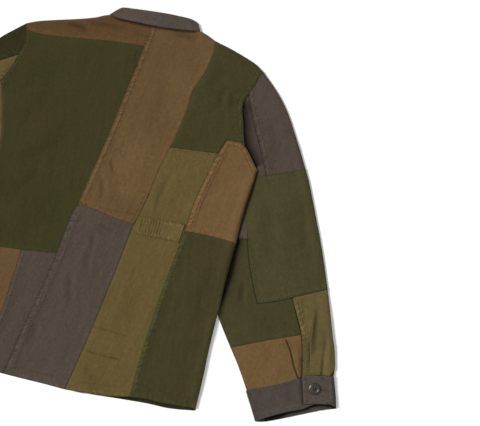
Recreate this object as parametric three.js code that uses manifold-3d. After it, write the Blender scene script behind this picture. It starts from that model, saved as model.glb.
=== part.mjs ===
// A patchwork work jacket laid flat on its front, back up, sleeves angled down beside the body.
// Millimetres. +Z is up, +Y points to the collar, +X to the wearer's right sleeve.
// Every cloth is a sheet with a wall, lying on the sheets below it. All sheets share one net of
// grid points, so sheets that keep their order at the net's points keep it everywhere.
import * as THREE from 'three';
import { mergeVertices } from 'three/addons/utils/BufferGeometryUtils.js';
import Module from 'manifold-3d';

const wasm = await Module();
wasm.setup();

// ---------------------------------------------------------------- driving dimensions
const CLOTH = 1.2;            // wall of one cloth
const CUFF_CLOTH = 2.0;       // a cuff is cloth folded double
const LAYER_GAP = 0.4;        // clear height between two sheets
const SEAM_GAP = 0.3;         // clear width between two pieces at a seam
const NET = 30;               // pitch of the shared net
const BODY_LOFT = 3.0;        // how far the back rises off the fronts inside the outline
const BODY_LOFT_RUN = 60;     // distance from the edge over which it rises
const SLEEVE_LOFT = 2.4;
const SLEEVE_LOFT_RUN = 45;
const PLACKET_LIFT = 3.5;     // the buttoned edges lie on the buttons
const OVERLAP = 20;           // half the width of the buttoned overlap
const BUTTON = { radius: 11, height: 3.2, holeRadius: 1.1, holeOffset: 2.3 };
const FRONT_BUTTON_Y = [215, 110, 5, -100, -205];
const CUFF_BUTTON = [438, -262];

// ---------------------------------------------------------------- cloth colours
const CLOTHS = {
  green: 0x42402a, dark: 0x3e3a22, sleeveGreen: 0x48442c, brown: 0x684f35, sideBrown: 0x6e5537,
  yokeBrown: 0x59432b, olive: 0x64543a, grey: 0x53483d, cuffGrey: 0x544c48,
};

// ---------------------------------------------------------------- outline helpers
const reversed = (line) => [...line].reverse();
const mirrored = (line) => line.map(([x, y]) => [-x, y]);

/** Joins lines end to end into one outline, leaving out points that repeat. */
function outline(...lines) {
  const points = [];
  for (const point of lines.flat()) {
    const last = points[points.length - 1];
    if (!last || Math.hypot(point[0] - last[0], point[1] - last[1]) > 0.01) points.push(point);
  }
  const [first, last] = [points[0], points[points.length - 1]];
  if (Math.hypot(first[0] - last[0], first[1] - last[1]) < 0.01) points.pop();
  return points;
}

function signedArea(points) {
  return points.reduce((sum, [x, y], i) => {
    const [nextX, nextY] = points[(i + 1) % points.length];
    return sum + (x * nextY - nextX * y) / 2;
  }, 0);
}

/** Moves every side of a closed outline inwards by the same distance. */
function inset(points, distance) {
  const loop = signedArea(points) > 0 ? points : reversed(points);
  const inwards = loop.map(([x, y], i) => {
    const [nextX, nextY] = loop[(i + 1) % loop.length];
    const length = Math.hypot(nextX - x, nextY - y);
    return [-(nextY - y) / length, (nextX - x) / length];
  });
  return loop.map(([x, y], i) => {
    const before = inwards[(i + loop.length - 1) % loop.length];
    const after = inwards[i];
    const scale = distance / (1 + before[0] * after[0] + before[1] * after[1]);
    return [x + (before[0] + after[0]) * scale, y + (before[1] + after[1]) * scale];
  });
}

// ---------------------------------------------------------------- body lines, top to bottom
const NECK_SEAM = [[-76, 335], [-40, 334], [6, 334], [50, 336], [95, 340]];
const SHOULDER_LEFT = [[-76, 335], [-101, 325], [-127, 317], [-170, 305], [-204, 296], [-223, 288]];
const SHOULDER_RIGHT = [[126, 328], [157, 320], [190, 308], [207, 302], [224, 291]];
const ARMHOLE_LEFT = [[-223, 288], [-220, 275], [-218, 250], [-225, 229], [-232, 206], [-247, 175]];
const ARMHOLE_CAP = [[224, 291], [217.5, 279], [215.5, 268], [209.5, 253], [206, 245]];
const ARMHOLE_BACK = [
  [206, 245], [202.5, 238], [199.5, 228], [201, 212], [207, 193], [214, 165],
  [219.5, 149],
];
const ARMHOLE_LOW = [[219.5, 149], [251, 110]];
const ARMHOLE_RIGHT = outline(ARMHOLE_CAP, ARMHOLE_BACK, ARMHOLE_LOW);
const SIDE_LEFT_UPPER = [[-247, 175], [-235, 127], [-225, 67], [-226, 0], [-230, -130]];
const SIDE_LEFT_LOWER = [[-230, -130], [-232, -220], [-232, -350]];
const SIDE_RIGHT_UPPER = [[251, 110], [250, 94], [246.5, 66], [243, 31], [241, -29]];
const SIDE_RIGHT_LOWER = [
  [241, -29], [238.8, -60], [236.3, -140], [232.5, -230], [232.6, -285], [231, -343.5],
];
const HEM_LEFT = [[-232, -350], [-178, -352]];
const HEM_GREY_LEFT = [[-178, -352], [-130, -352]];
const HEM_CENTRE = [[-130, -352], [-110, -354], [-23, -358], [-12, -357.8]];
const HEM_OLIVE = [[-12, -357.8], [64, -354.2], [107, -347.8]];
const HEM_RIGHT = [[107, -347.8], [140, -344.8], [164, -346], [205, -344.3], [231, -343.5]];
const HEM = outline(HEM_LEFT, HEM_GREY_LEFT, HEM_CENTRE, HEM_OLIVE, HEM_RIGHT);

// Seams between the patches of the back.
const YOKE_SEAM = [[-220, 275.7], [-184, 274.2], [-119, 281.2], [-57, 288], [0, 291.2]];
const SLANT_UPPER = [
  [0, 291.2], [-7.5, 249.7], [-13.8, 215.5], [-20.5, 175.6], [-27.8, 137.3], [-36, 92.5],
  [-45.2, 49.8], [-51.8, 19.8], [-59.3, -20],
];
const SLANT_MIDDLE = [[-59.3, -20], [-66, -34], [-72.5, -73], [-80, -116]];
const SLANT_LOWER = [[-80, -116], [-89, -163], [-114.5, -274], [-130, -352]];
const STRIP_RIGHT_UPPER = [
  [126, 328], [127.7, 314], [122.7, 280], [111.8, 249], [103.6, 228], [101.4, 206], [98.8, 183],
  [94, 160], [85.4, 119],
];
const STRIP_RIGHT_LOWER = [[85.4, 119], [73, 72], [64.5, 27], [53.5, -19], [48.5, -33.5]];
const STRIP_BOTTOM = [[-59.3, -20], [-40, -21], [-18, -23.6], [8, -29.5], [48.5, -33.5]];
const MIDDLE_SEAM = [[48.5, -33.5], [34, -124], [14, -234], [4.5, -282], [-12, -357.8]];
const OLIVE_TOP = [[85.4, 119], [174, 126]];
const OLIVE_WAIST = [[48.5, -33.5], [142.3, -34]];
const OLIVE_RIGHT_UPPER = [[174, 126], [161.8, 79.6], [151, 33.7], [143, -26.5]];
const OLIVE_RIGHT_WAIST = [[143, -26.5], [142.3, -34]];
const OLIVE_RIGHT_LOWER = [[142.3, -34], [129, -112.7], [118.2, -201.7], [111, -270], [107, -347.8]];
const SIDE_PANEL_TOP = [[174, 126], [184.5, 154], [210, 155], [219.5, 149]];
const SIDE_PANEL_BOTTOM = [[143, -26.5], [193, -26], [241, -29]];
const PANEL_BOTTOM = [[-230, -130], [-186, -126], [-144, -123]];
const PANEL_BOTTOM_INNER = [[-144, -123], [-80, -116]];
const LOWER_LEFT_SEAM = [[-144, -123], [-154, -214], [-157, -243], [-178, -352]];

// ---------------------------------------------------------------- collar lines
const COLLAR_FOLD = [
  [-76, 335], [-62, 348], [-55, 352.7], [-33, 355], [-5, 356.6], [18, 358], [42, 359.3], [76, 358.3], [88, 353.5],
  [95, 340],
];
const COLLAR_EDGE = [[-76, 335], [-56, 332], [-32, 331.3], [-8, 331.3], [31, 332.5], [75, 337], [95, 340]];
const LEAF_LEFT = [[-74, 328], [-110, 300], [-84, 226], [-46, 196], [-4, 240], [-30, 258], [-60, 288]];
const NECK_MIDDLE = 10;       // x of the middle of the neck as the jacket lies
const LEAF_RIGHT = LEAF_LEFT.map(([x, y]) => [2 * NECK_MIDDLE - x, y]);

// ---------------------------------------------------------------- sleeve lines
const OUTER_CAP = [[224, 291], [243, 273.5], [262.5, 254], [284, 226.5], [308, 186], [329.5, 147], [338, 131]];
const OUTER_ELBOW = [[338, 131], [347.5, 113], [362.5, 78], [372.5, 55], [399, -9], [424, -77]];
const OUTER_FOREARM = [[424, -77], [440, -126], [450.5, -158], [460, -185], [467, -214], [468, -232]];
const TUCK_RIGHT_UPPER = [[251, 110], [232, 80], [212, 20], [204, -25]];
const TUCK_RIGHT_LOWER = [[204, -25], [204, -60], [212, -115], [235, -166]];
const INNER_FOREARM = [[235, -166], [270.8, -219.5]];
const INNER_WRIST = [[270.8, -219.5], [294, -254.5], [316, -291]];
const CUFF_SEAM = [[316, -291], [353, -276], [387, -260], [411, -244]];
const CUFF_SEAM_TAB = [[411, -244], [442, -236], [468, -232]];
const CAP_SEAM = [[206, 245], [211.5, 229], [218, 214], [231.5, 185], [248, 152], [269, 105]];
const GREY_BOTTOM = [[269, 105], [281, 109], [319, 123.5], [338, 131]];
const ELBOW_LEFT_UPPER = [[255, 101], [244, 66], [242, 31], [254, 4], [260, -18]];
const ELBOW_LEFT_LOWER = [[260, -18], [269, -50], [286, -94], [302, -130]];
const ELBOW_BOTTOM = [[302, -130], [343, -116], [362.5, -105.8]];
const ELBOW_BOTTOM_OLIVE = [[362.5, -105.8], [424, -77]];
const OLIVE_SLEEVE_LEFT = [[362.5, -105.8], [393.7, -169.3]];
const SLIT = [[393.7, -169.3], [401.5, -197.5], [411, -244]];
const BROWN_SLEEVE_TOP = [[270.8, -219.5], [340.5, -190], [393.7, -169.3]];
const CUFF_MOUTH = [
  [343.5, -344], [370, -328], [398, -314], [424, -303], [436, -295], [444, -290],
  [452, -285],
];
const CUFF_MOUTH_UNDER = [
  [343.5, -344], [360, -340.5], [393.4, -326.5], [434.6, -309], [462.3, -297],
  [485, -289.5],
];
const CUFF_FOLD = [[485, -289.5], [477, -260], [468, -232]];
const CUFF_INNER = [[316, -291], [315, -293], [343.5, -344]];

// The left sleeve mirrors the right one, with its own armhole and tucked edge.
const LEFT_OUTER_CAP = [[-223, 288], [-240, 274], [-264, 253], [-284, 227], [-308, 186], [-311, 181]];
const LEFT_OUTER_BAND = [[-311, 181], [-337, 131], [-341, 122]];
const LEFT_OUTER_UPPER = [[-341, 122], [-371, 55], [-398, -9], [-424, -77]];
const LEFT_CAP_SEAM = [[-225, 229], [-257, 211], [-311, 181]];
const LEFT_BAND_SEAM = [[-247, 175], [-341, 122]];
const LEFT_TUCK_UPPER = [[-247, 175], [-228, 140], [-205, 60], [-196, -20], [-206, -100]];
const LEFT_TUCK_LOWER = [[-206, -100], [-235, -166]];
const LEFT_ELBOW_SEAM = [[-206, -100], [-310, -115], [-424, -77]];

// ---------------------------------------------------------------- heights of the layers
const ramp = (value, zeroAt, oneAt) => Math.min(1, Math.max(0, (value - zeroAt) / (oneAt - zeroAt)));

/** Shortest distance from a point to any of the given lines. */
function distanceTo(lines, x, y) {
  let best = Infinity;
  for (const line of lines) {
    for (let i = 0; i + 1 < line.length; i += 1) {
      const [ax, ay] = line[i];
      const [dx, dy] = [line[i + 1][0] - ax, line[i + 1][1] - ay];
      const t = Math.min(1, Math.max(0, ((x - ax) * dx + (y - ay) * dy) / (dx * dx + dy * dy)));
      best = Math.min(best, Math.hypot(x - ax - t * dx, y - ay - t * dy));
    }
  }
  return best;
}

const BODY_EDGES = [
  SHOULDER_LEFT, SHOULDER_RIGHT, SIDE_LEFT_UPPER, SIDE_LEFT_LOWER, SIDE_RIGHT_UPPER, SIDE_RIGHT_LOWER,
  HEM, COLLAR_FOLD,
];
const RIGHT_SLEEVE_EDGES = [
  OUTER_CAP, OUTER_ELBOW, OUTER_FOREARM, SIDE_RIGHT_UPPER, SIDE_RIGHT_LOWER, INNER_FOREARM, INNER_WRIST,
  CUFF_SEAM, CUFF_SEAM_TAB,
];
const LEFT_SLEEVE_EDGES = [
  LEFT_OUTER_CAP, LEFT_OUTER_BAND, LEFT_OUTER_UPPER, SIDE_LEFT_UPPER, SIDE_LEFT_LOWER,
  ...[OUTER_FOREARM, INNER_FOREARM, INNER_WRIST, CUFF_SEAM, CUFF_SEAM_TAB].map(mirrored),
];
const UNDERARM_RIGHT_Y = 110;
const UNDERARM_LEFT_Y = 175;
const BODY_HALF = 235;        // the body's sides press the sleeves flat inside this half width

/** Underside of a sleeve's upper cloth: lofted, but pressed flat where the body lies on it. */
function sleeveUpper(x, y) {
  const onRight = x > 0;
  const pressed = Math.abs(x) < BODY_HALF && y < (onRight ? UNDERARM_RIGHT_Y : UNDERARM_LEFT_Y) + NET;
  const edge = distanceTo(onRight ? RIGHT_SLEEVE_EDGES : LEFT_SLEEVE_EDGES, x, y);
  const loft = pressed ? 0 : SLEEVE_LOFT * ramp(edge, 0, SLEEVE_LOFT_RUN);
  return CLOTH + LAYER_GAP + loft;
}

/** Underside of the outer front, lifted by buttons, collar leaves and the tucked sleeves. */
function frontLeft(x, y) {
  const reach = Math.abs(x);
  const placket = PLACKET_LIFT * ramp(reach, 60, 30);
  const leaf = (CLOTH + LAYER_GAP) * ramp(Math.abs(x - NECK_MIDDLE), 205, 160) * ramp(y, 135, 180);
  const top = (x > 0 ? UNDERARM_RIGHT_Y : UNDERARM_LEFT_Y) + NET;
  const tucked = ramp(reach, 120, 180) * ramp(y, top + 2 * NET, top) * ramp(y, -260, -200);
  return Math.max(placket, leaf, tucked * (sleeveUpper(x, y) + CLOTH + LAYER_GAP));
}

/** Underside of the inner front, which lies on the outer one along the buttoned edge. */
const frontRight = (x, y) => frontLeft(x, y) + (CLOTH + LAYER_GAP) * ramp(x, 60, 30);

/** Underside of the back, clear of both fronts and lofted away from the outline. */
function back(x, y) {
  const onFronts = frontLeft(x, y) + (CLOTH + LAYER_GAP) * ramp(Math.abs(x), 60, 30) + CLOTH + LAYER_GAP;
  const lofted = CLOTH + LAYER_GAP + BODY_LOFT * ramp(distanceTo(BODY_EDGES, x, y), 0, BODY_LOFT_RUN);
  return Math.max(onFronts, lofted);
}

const table = () => 0;
const onBack = (x, y) => back(x, y) + CLOTH + SEAM_GAP;
const onStand = (x, y) => back(x, y) + CLOTH + LAYER_GAP;
const onSleeve = (x, y) => sleeveUpper(x, y) + CLOTH + SEAM_GAP;
const cuffUpper = () => CUFF_CLOTH + LAYER_GAP;
const cuffTab = () => 2 * (CUFF_CLOTH + LAYER_GAP);

// ---------------------------------------------------------------- solids
/** A closed manifold solid from a three.js geometry. */
function solidOf(geometry) {
  const bare = geometry.clone();
  bare.deleteAttribute('normal');
  bare.deleteAttribute('uv');
  const merged = mergeVertices(bare, 1e-4);
  return new wasm.Manifold(new wasm.Mesh({
    numProp: 3,
    vertProperties: new Float32Array(merged.attributes.position.array),
    triVerts: new Uint32Array(merged.index.array),
  }));
}

function geometryOf(solid) {
  const mesh = solid.getMesh();
  const geometry = new THREE.BufferGeometry();
  geometry.setAttribute('position', new THREE.BufferAttribute(new Float32Array(mesh.vertProperties), 3));
  geometry.setIndex(new THREE.BufferAttribute(new Uint32Array(mesh.triVerts), 1));
  geometry.computeVertexNormals();
  return geometry;
}

/** A walled sheet over the part of the shared net that covers an outline, cut the same way above
 *  and below in every cell. */
function sheetSlab(points, underside, wall) {
  const xs = points.map(([x]) => x);
  const ys = points.map(([, y]) => y);
  const firstX = Math.floor(Math.min(...xs) / NET) - 1;
  const firstY = Math.floor(Math.min(...ys) / NET) - 1;
  const cellsX = Math.ceil(Math.max(...xs) / NET) + 1 - firstX;
  const cellsY = Math.ceil(Math.max(...ys) / NET) + 1 - firstY;
  const upper = new THREE.PlaneGeometry(1, 1, cellsX, cellsY);
  const count = upper.attributes.position.count;
  const corners = [];
  for (let i = 0; i < 2 * count; i += 1) {
    const x = ((i % count) % (cellsX + 1) + firstX) * NET;
    const y = (cellsY - Math.floor((i % count) / (cellsX + 1)) + firstY) * NET;
    corners.push(x, y, underside(x, y) + (i < count ? wall : 0));
  }
  const above = [...upper.index.array];
  const below = above.map((corner) => corner + count).reverse();
  const sides = [];
  const addSide = (a, b) => sides.push(a, a + count, b, b, a + count, b + count);
  for (let column = 0; column < cellsX; column += 1) {
    const last = cellsY * (cellsX + 1) + column;
    addSide(column + 1, column);
    addSide(last, last + 1);
  }
  for (let row = 0; row < cellsY; row += 1) {
    const left = row * (cellsX + 1);
    addSide(left, left + cellsX + 1);
    addSide(left + 2 * cellsX + 1, left + cellsX);
  }
  const geometry = new THREE.BufferGeometry();
  geometry.setAttribute('position', new THREE.Float32BufferAttribute(corners, 3));
  geometry.setIndex([...above, ...below, ...sides]);
  return solidOf(geometry);
}

const CUTTER = { low: -5, depth: 30 };

/** One piece of cloth: the sheet inside the outline, half a seam gap in from every side. */
function cloth(name, colour, points, underside, wall = CLOTH) {
  const edge = inset(points, SEAM_GAP / 2);
  const shape = new THREE.Shape(edge.map(([x, y]) => new THREE.Vector2(x, y)));
  const cutter = new THREE.ExtrudeGeometry(shape, { depth: CUTTER.depth, bevelEnabled: false });
  cutter.translate(0, 0, CUTTER.low);
  const solid = sheetSlab(edge, underside, wall).intersect(solidOf(cutter)).simplify(0.01);
  const finish = new THREE.MeshStandardMaterial({ color: colour, roughness: 0.92, metalness: 0 });
  const piece = new THREE.Mesh(geometryOf(solid), finish);
  piece.name = name;
  return piece;
}

/** A four-hole button with a raised rim, its face up and its back on z = 0. */
function button(name, x, y, z, faceDown) {
  const { radius, height, holeRadius, holeOffset } = BUTTON;
  const profile = [
    [0, 0], [radius - 1.6, 0], [radius, 1.2], [radius, height - 0.8], [radius - 0.8, height],
    [radius - 2.0, height], [radius - 3.0, height - 0.9], [0, height - 0.9],
  ];
  const disc = new THREE.LatheGeometry(profile.map(([r, h]) => new THREE.Vector2(r, h)), 28);
  disc.rotateX(Math.PI / 2);
  let solid = solidOf(disc);
  for (let i = 0; i < 4; i += 1) {
    const angle = Math.PI / 4 + (i * Math.PI) / 2;
    const hole = new THREE.CylinderGeometry(holeRadius, holeRadius, 3 * height, 10);
    hole.rotateX(Math.PI / 2);
    hole.translate(holeOffset * Math.cos(angle), holeOffset * Math.sin(angle), 0);
    solid = solid.subtract(solidOf(hole));
  }
  const finish = new THREE.MeshStandardMaterial({ color: 0x3a382c, roughness: 0.35, metalness: 0 });
  const piece = new THREE.Mesh(geometryOf(solid), finish);
  piece.name = name;
  piece.position.set(x, y, faceDown ? z + height : z);
  piece.rotation.x = faceDown ? Math.PI : 0;
  return piece;
}

// ---------------------------------------------------------------- the pieces
function backPieces() {
  const waistCasing = [[53, -17], [141, -13], [136, -50], [50, -50]];
  return [
    cloth('back_yoke_left', CLOTHS.yokeBrown,
      outline(YOKE_SEAM, reversed(NECK_SEAM.slice(0, 3)), SHOULDER_LEFT, [[-223, 288]]), back),
    cloth('back_strip_brown', CLOTHS.brown,
      outline(SLANT_UPPER, STRIP_BOTTOM, reversed(STRIP_RIGHT_LOWER), reversed(STRIP_RIGHT_UPPER),
        reversed(NECK_SEAM.slice(2))), back),
    cloth('back_panel_left', CLOTHS.dark,
      outline(SIDE_LEFT_UPPER, PANEL_BOTTOM, PANEL_BOTTOM_INNER, reversed(SLANT_MIDDLE),
        reversed(SLANT_UPPER), reversed(YOKE_SEAM), ARMHOLE_LEFT.slice(1)), back),
    cloth('back_shoulder_right', CLOTHS.green,
      outline(STRIP_RIGHT_UPPER, OLIVE_TOP, SIDE_PANEL_TOP, reversed(ARMHOLE_BACK), reversed(ARMHOLE_CAP),
        reversed(SHOULDER_RIGHT)), back),
    cloth('back_olive_upper', CLOTHS.olive,
      outline(STRIP_RIGHT_LOWER, OLIVE_WAIST, reversed(OLIVE_RIGHT_WAIST), reversed(OLIVE_RIGHT_UPPER),
        reversed(OLIVE_TOP)), back),
    cloth('back_waist_casing', CLOTHS.olive, waistCasing, onBack),
    cloth('back_side_brown', CLOTHS.sideBrown,
      outline(OLIVE_RIGHT_UPPER, SIDE_PANEL_BOTTOM, reversed(SIDE_RIGHT_UPPER), reversed(ARMHOLE_LOW),
        reversed(SIDE_PANEL_TOP)), back),
    cloth('back_grey_centre', CLOTHS.grey,
      outline(SLANT_MIDDLE, SLANT_LOWER, HEM_CENTRE, reversed(MIDDLE_SEAM), reversed(STRIP_BOTTOM)), back),
    cloth('back_olive_lower', CLOTHS.olive,
      outline(MIDDLE_SEAM, HEM_OLIVE, reversed(OLIVE_RIGHT_LOWER), reversed(OLIVE_WAIST)), back),
    cloth('back_green_lower', CLOTHS.green,
      outline(OLIVE_RIGHT_WAIST, OLIVE_RIGHT_LOWER, HEM_RIGHT, reversed(SIDE_RIGHT_LOWER),
        reversed(SIDE_PANEL_BOTTOM)), back),
    cloth('back_brown_lower_left', CLOTHS.brown,
      outline(SIDE_LEFT_LOWER, HEM_LEFT, reversed(LOWER_LEFT_SEAM), reversed(PANEL_BOTTOM)), back),
    cloth('back_grey_lower_left', CLOTHS.grey,
      outline(LOWER_LEFT_SEAM, HEM_GREY_LEFT, reversed(SLANT_LOWER), reversed(PANEL_BOTTOM_INNER)), back),
  ];
}

/** The two fronts, each one plain panel, lapped along the middle. */
function frontPieces() {
  const hemLeft = [[-232, -350], [-100, -356], [OVERLAP, -359]];
  const hemRight = [
    [-OVERLAP, -359], [60, -356.8], [140, -353.4], [181, -353.8], [229, -348.3], [231.8, -345.5],
  ];
  const neckLeft = [[OVERLAP, 248], [-30, 262], [-60, 292], [-76, 335]];
  const neckRight = [[95, 340], [80, 292], [50, 262], [-OVERLAP, 248]];
  return [
    cloth('front_left', CLOTHS.green,
      outline(neckLeft, SHOULDER_LEFT, ARMHOLE_LEFT, SIDE_LEFT_UPPER, SIDE_LEFT_LOWER, hemLeft), frontLeft),
    cloth('front_right', CLOTHS.green,
      outline(neckRight, hemRight, reversed(SIDE_RIGHT_LOWER), reversed(SIDE_RIGHT_UPPER),
        reversed(ARMHOLE_RIGHT), reversed(SHOULDER_RIGHT)), frontRight),
  ];
}

/** Stand and fall at the back of the neck, and the two leaves under the fronts. */
function collarPieces() {
  const foldInside = COLLAR_FOLD.slice(1, -1).map(([x, y]) => [x, y - 3]);
  return [
    cloth('collar_stand', CLOTHS.cuffGrey, outline(NECK_SEAM, reversed(foldInside)), back),
    cloth('collar_fall', CLOTHS.cuffGrey, outline(COLLAR_EDGE, reversed(COLLAR_FOLD)), onStand),
    cloth('collar_leaf_left', CLOTHS.cuffGrey, LEAF_LEFT, table),
    cloth('collar_leaf_right', CLOTHS.cuffGrey, LEAF_RIGHT, table),
  ];
}

function rightSleevePieces() {
  const forearmTop = [[204, -25], [260, -18]];
  const binding = [[397, -171], [408, -173], [424, -238], [413, -241]];
  return [
    cloth('sleeve_right_underarm', CLOTHS.grey,
      outline(ARMHOLE_BACK, ARMHOLE_LOW, TUCK_RIGHT_UPPER, forearmTop, reversed(ELBOW_LEFT_UPPER),
        reversed(CAP_SEAM)), sleeveUpper),
    cloth('sleeve_right_cap', CLOTHS.grey,
      outline(CAP_SEAM, GREY_BOTTOM, reversed(OUTER_CAP), ARMHOLE_CAP), sleeveUpper),
    cloth('sleeve_right_elbow', CLOTHS.sleeveGreen,
      outline(ELBOW_LEFT_UPPER, ELBOW_LEFT_LOWER, ELBOW_BOTTOM, ELBOW_BOTTOM_OLIVE, reversed(OUTER_ELBOW),
        reversed(GREY_BOTTOM)), sleeveUpper),
    cloth('sleeve_right_forearm_green', CLOTHS.sleeveGreen,
      outline(TUCK_RIGHT_LOWER, INNER_FOREARM, BROWN_SLEEVE_TOP, reversed(OLIVE_SLEEVE_LEFT),
        reversed(ELBOW_BOTTOM), reversed(ELBOW_LEFT_LOWER), reversed(forearmTop)), sleeveUpper),
    cloth('sleeve_right_forearm_olive', CLOTHS.olive,
      outline(OLIVE_SLEEVE_LEFT, SLIT, CUFF_SEAM_TAB, reversed(OUTER_FOREARM),
        reversed(ELBOW_BOTTOM_OLIVE)), sleeveUpper),
    cloth('sleeve_right_forearm_brown', CLOTHS.sideBrown,
      outline(BROWN_SLEEVE_TOP, SLIT, reversed(CUFF_SEAM), reversed(INNER_WRIST)), sleeveUpper),
    cloth('sleeve_right_slit_binding', CLOTHS.olive, binding, onSleeve),
    cloth('sleeve_right_underside', CLOTHS.sleeveGreen,
      outline(ARMHOLE_RIGHT, TUCK_RIGHT_UPPER, TUCK_RIGHT_LOWER, INNER_FOREARM, INNER_WRIST, CUFF_SEAM,
        CUFF_SEAM_TAB, reversed(OUTER_FOREARM), reversed(OUTER_ELBOW), reversed(OUTER_CAP)), table),
  ];
}

function leftSleevePieces() {
  const wrist = [OUTER_FOREARM, INNER_FOREARM, INNER_WRIST, CUFF_SEAM, CUFF_SEAM_TAB].map(mirrored);
  const [outerForearm, innerForearm, innerWrist, cuffSeam, cuffSeamTab] = wrist;
  const binding = mirrored([[397, -171], [408, -173], [424, -238], [413, -241]]);
  return [
    cloth('sleeve_left_cap', CLOTHS.green,
      outline(LEFT_CAP_SEAM, reversed(LEFT_OUTER_CAP), ARMHOLE_LEFT.slice(0, 4)), sleeveUpper),
    cloth('sleeve_left_band', CLOTHS.olive,
      outline(reversed(LEFT_CAP_SEAM), ARMHOLE_LEFT.slice(3), LEFT_BAND_SEAM, reversed(LEFT_OUTER_BAND)),
      sleeveUpper),
    cloth('sleeve_left_upper', CLOTHS.brown,
      outline(LEFT_TUCK_UPPER, LEFT_ELBOW_SEAM, reversed(LEFT_OUTER_UPPER), reversed(LEFT_BAND_SEAM)),
      sleeveUpper),
    cloth('sleeve_left_forearm', CLOTHS.sleeveGreen,
      outline(LEFT_TUCK_LOWER, innerForearm, innerWrist, cuffSeam, cuffSeamTab, reversed(outerForearm),
        reversed(LEFT_ELBOW_SEAM)), sleeveUpper),
    cloth('sleeve_left_slit_binding', CLOTHS.sleeveGreen, binding, onSleeve),
    cloth('sleeve_left_underside', CLOTHS.sleeveGreen,
      outline(ARMHOLE_LEFT, LEFT_TUCK_UPPER, LEFT_TUCK_LOWER, innerForearm, innerWrist, cuffSeam,
        cuffSeamTab, reversed(outerForearm), reversed(LEFT_OUTER_UPPER), reversed(LEFT_OUTER_BAND),
        reversed(LEFT_OUTER_CAP)), table),
  ];
}

/** A cuff's two faces, the end that laps over, and its button. */
function cuffPieces(side, place) {
  const upper = outline(CUFF_INNER, CUFF_MOUTH, [[443, -240], [411, -247]], reversed(CUFF_SEAM));
  const under = outline(CUFF_MOUTH_UNDER, CUFF_FOLD, reversed(CUFF_SEAM_TAB), reversed(CUFF_SEAM));
  const tab = [
    [410, -242], [442, -236], [468, -232], [476, -260], [484, -287.5], [476.5, -285.8], [462, -285.5],
    [450, -288], [424, -293.5],
  ];
  const buttonX = place([CUFF_BUTTON])[0][0];
  return [
    cloth(`cuff_${side}_upper`, CLOTHS.cuffGrey, place(upper), cuffUpper, CUFF_CLOTH),
    cloth(`cuff_${side}_under`, CLOTHS.cuffGrey, place(under), table, CUFF_CLOTH),
    cloth(`cuff_${side}_tab`, CLOTHS.cuffGrey, place(tab), cuffTab, CUFF_CLOTH),
    button(`button_cuff_${side}`, buttonX, CUFF_BUTTON[1], cuffTab() + CUFF_CLOTH + SEAM_GAP, false),
  ];
}

function frontButtons() {
  return FRONT_BUTTON_Y.map((y, i) => button(`button_front_${i + 1}`, 0, y, 0, true));
}

const jacket = new THREE.Group();
jacket.add(
  ...backPieces(), ...frontPieces(), ...collarPieces(), ...rightSleevePieces(), ...leftSleevePieces(),
  ...cuffPieces('right', (points) => points), ...cuffPieces('left', mirrored), ...frontButtons(),
);
export default jacket;
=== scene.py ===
"""A patchwork work jacket laid flat with its back up: its cloth, stitching, buttons and studio."""

import logging
import math
from dataclasses import dataclass, field, replace
from enum import Enum
from typing import ClassVar, Optional

import bmesh
import bpy
import numpy as np
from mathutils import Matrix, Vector
from mathutils.bvhtree import BVHTree


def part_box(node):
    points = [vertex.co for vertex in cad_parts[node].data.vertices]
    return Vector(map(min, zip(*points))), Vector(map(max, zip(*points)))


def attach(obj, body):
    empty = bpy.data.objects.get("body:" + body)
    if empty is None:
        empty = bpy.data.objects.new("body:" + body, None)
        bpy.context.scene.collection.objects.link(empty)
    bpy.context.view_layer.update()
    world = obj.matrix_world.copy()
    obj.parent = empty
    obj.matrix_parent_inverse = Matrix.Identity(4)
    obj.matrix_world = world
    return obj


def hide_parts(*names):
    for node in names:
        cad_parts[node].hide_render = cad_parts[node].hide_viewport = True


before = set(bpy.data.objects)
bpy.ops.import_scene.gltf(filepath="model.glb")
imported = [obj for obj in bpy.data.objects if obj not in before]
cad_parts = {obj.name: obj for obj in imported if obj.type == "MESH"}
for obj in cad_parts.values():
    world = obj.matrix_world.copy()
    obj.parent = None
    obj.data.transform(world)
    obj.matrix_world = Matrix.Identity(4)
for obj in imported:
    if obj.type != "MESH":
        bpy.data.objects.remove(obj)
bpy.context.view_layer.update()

log = logging.getLogger("jacket")
MM = 0.001
WALL = 1.0 * MM                      # thickness of one cloth
CUFF_WALL = 1.6 * MM                 # thickness of a cuff's doubled cloth
LEAST_TOP = 2.5 * MM                 # the upper cloth never sinks into the cloth under it
BESIDE = 1.6 * MM                    # edges nearer to each other than this are joined
HEM_Y = -0.3425                      # points below this are on the hem
UNDERARM_Y = 0.109                   # points above this are on the armholes
CUFF_Y = -0.225                      # points below this are on the cuffs
NO_ROW = -99.0                       # stands for a row of stitches that a seam doesn't have
# Sizes of the cells of a cloth's net.
FINE = 2.2 * MM
COARSE = 5.0 * MM
HIDDEN = 7.0 * MM
CRISP = 1.4 * MM


class Face(Enum):
    """Which way the good side of a cloth faces."""

    UP = 1
    DOWN = -1


# ------------------------------------------------------------------------------- plane geometry
def smooth_step(value: np.ndarray, low: float, high: float) -> np.ndarray:
    """Smooth rise from 0 at low to 1 at high."""
    t = np.clip((value - low) / (high - low), 0.0, 1.0)
    return t * t * (3.0 - 2.0 * t)


def length_of(line: np.ndarray) -> float:
    """Length of an open line."""
    return float(np.linalg.norm(np.diff(line, axis=0), axis=1).sum())


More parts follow.
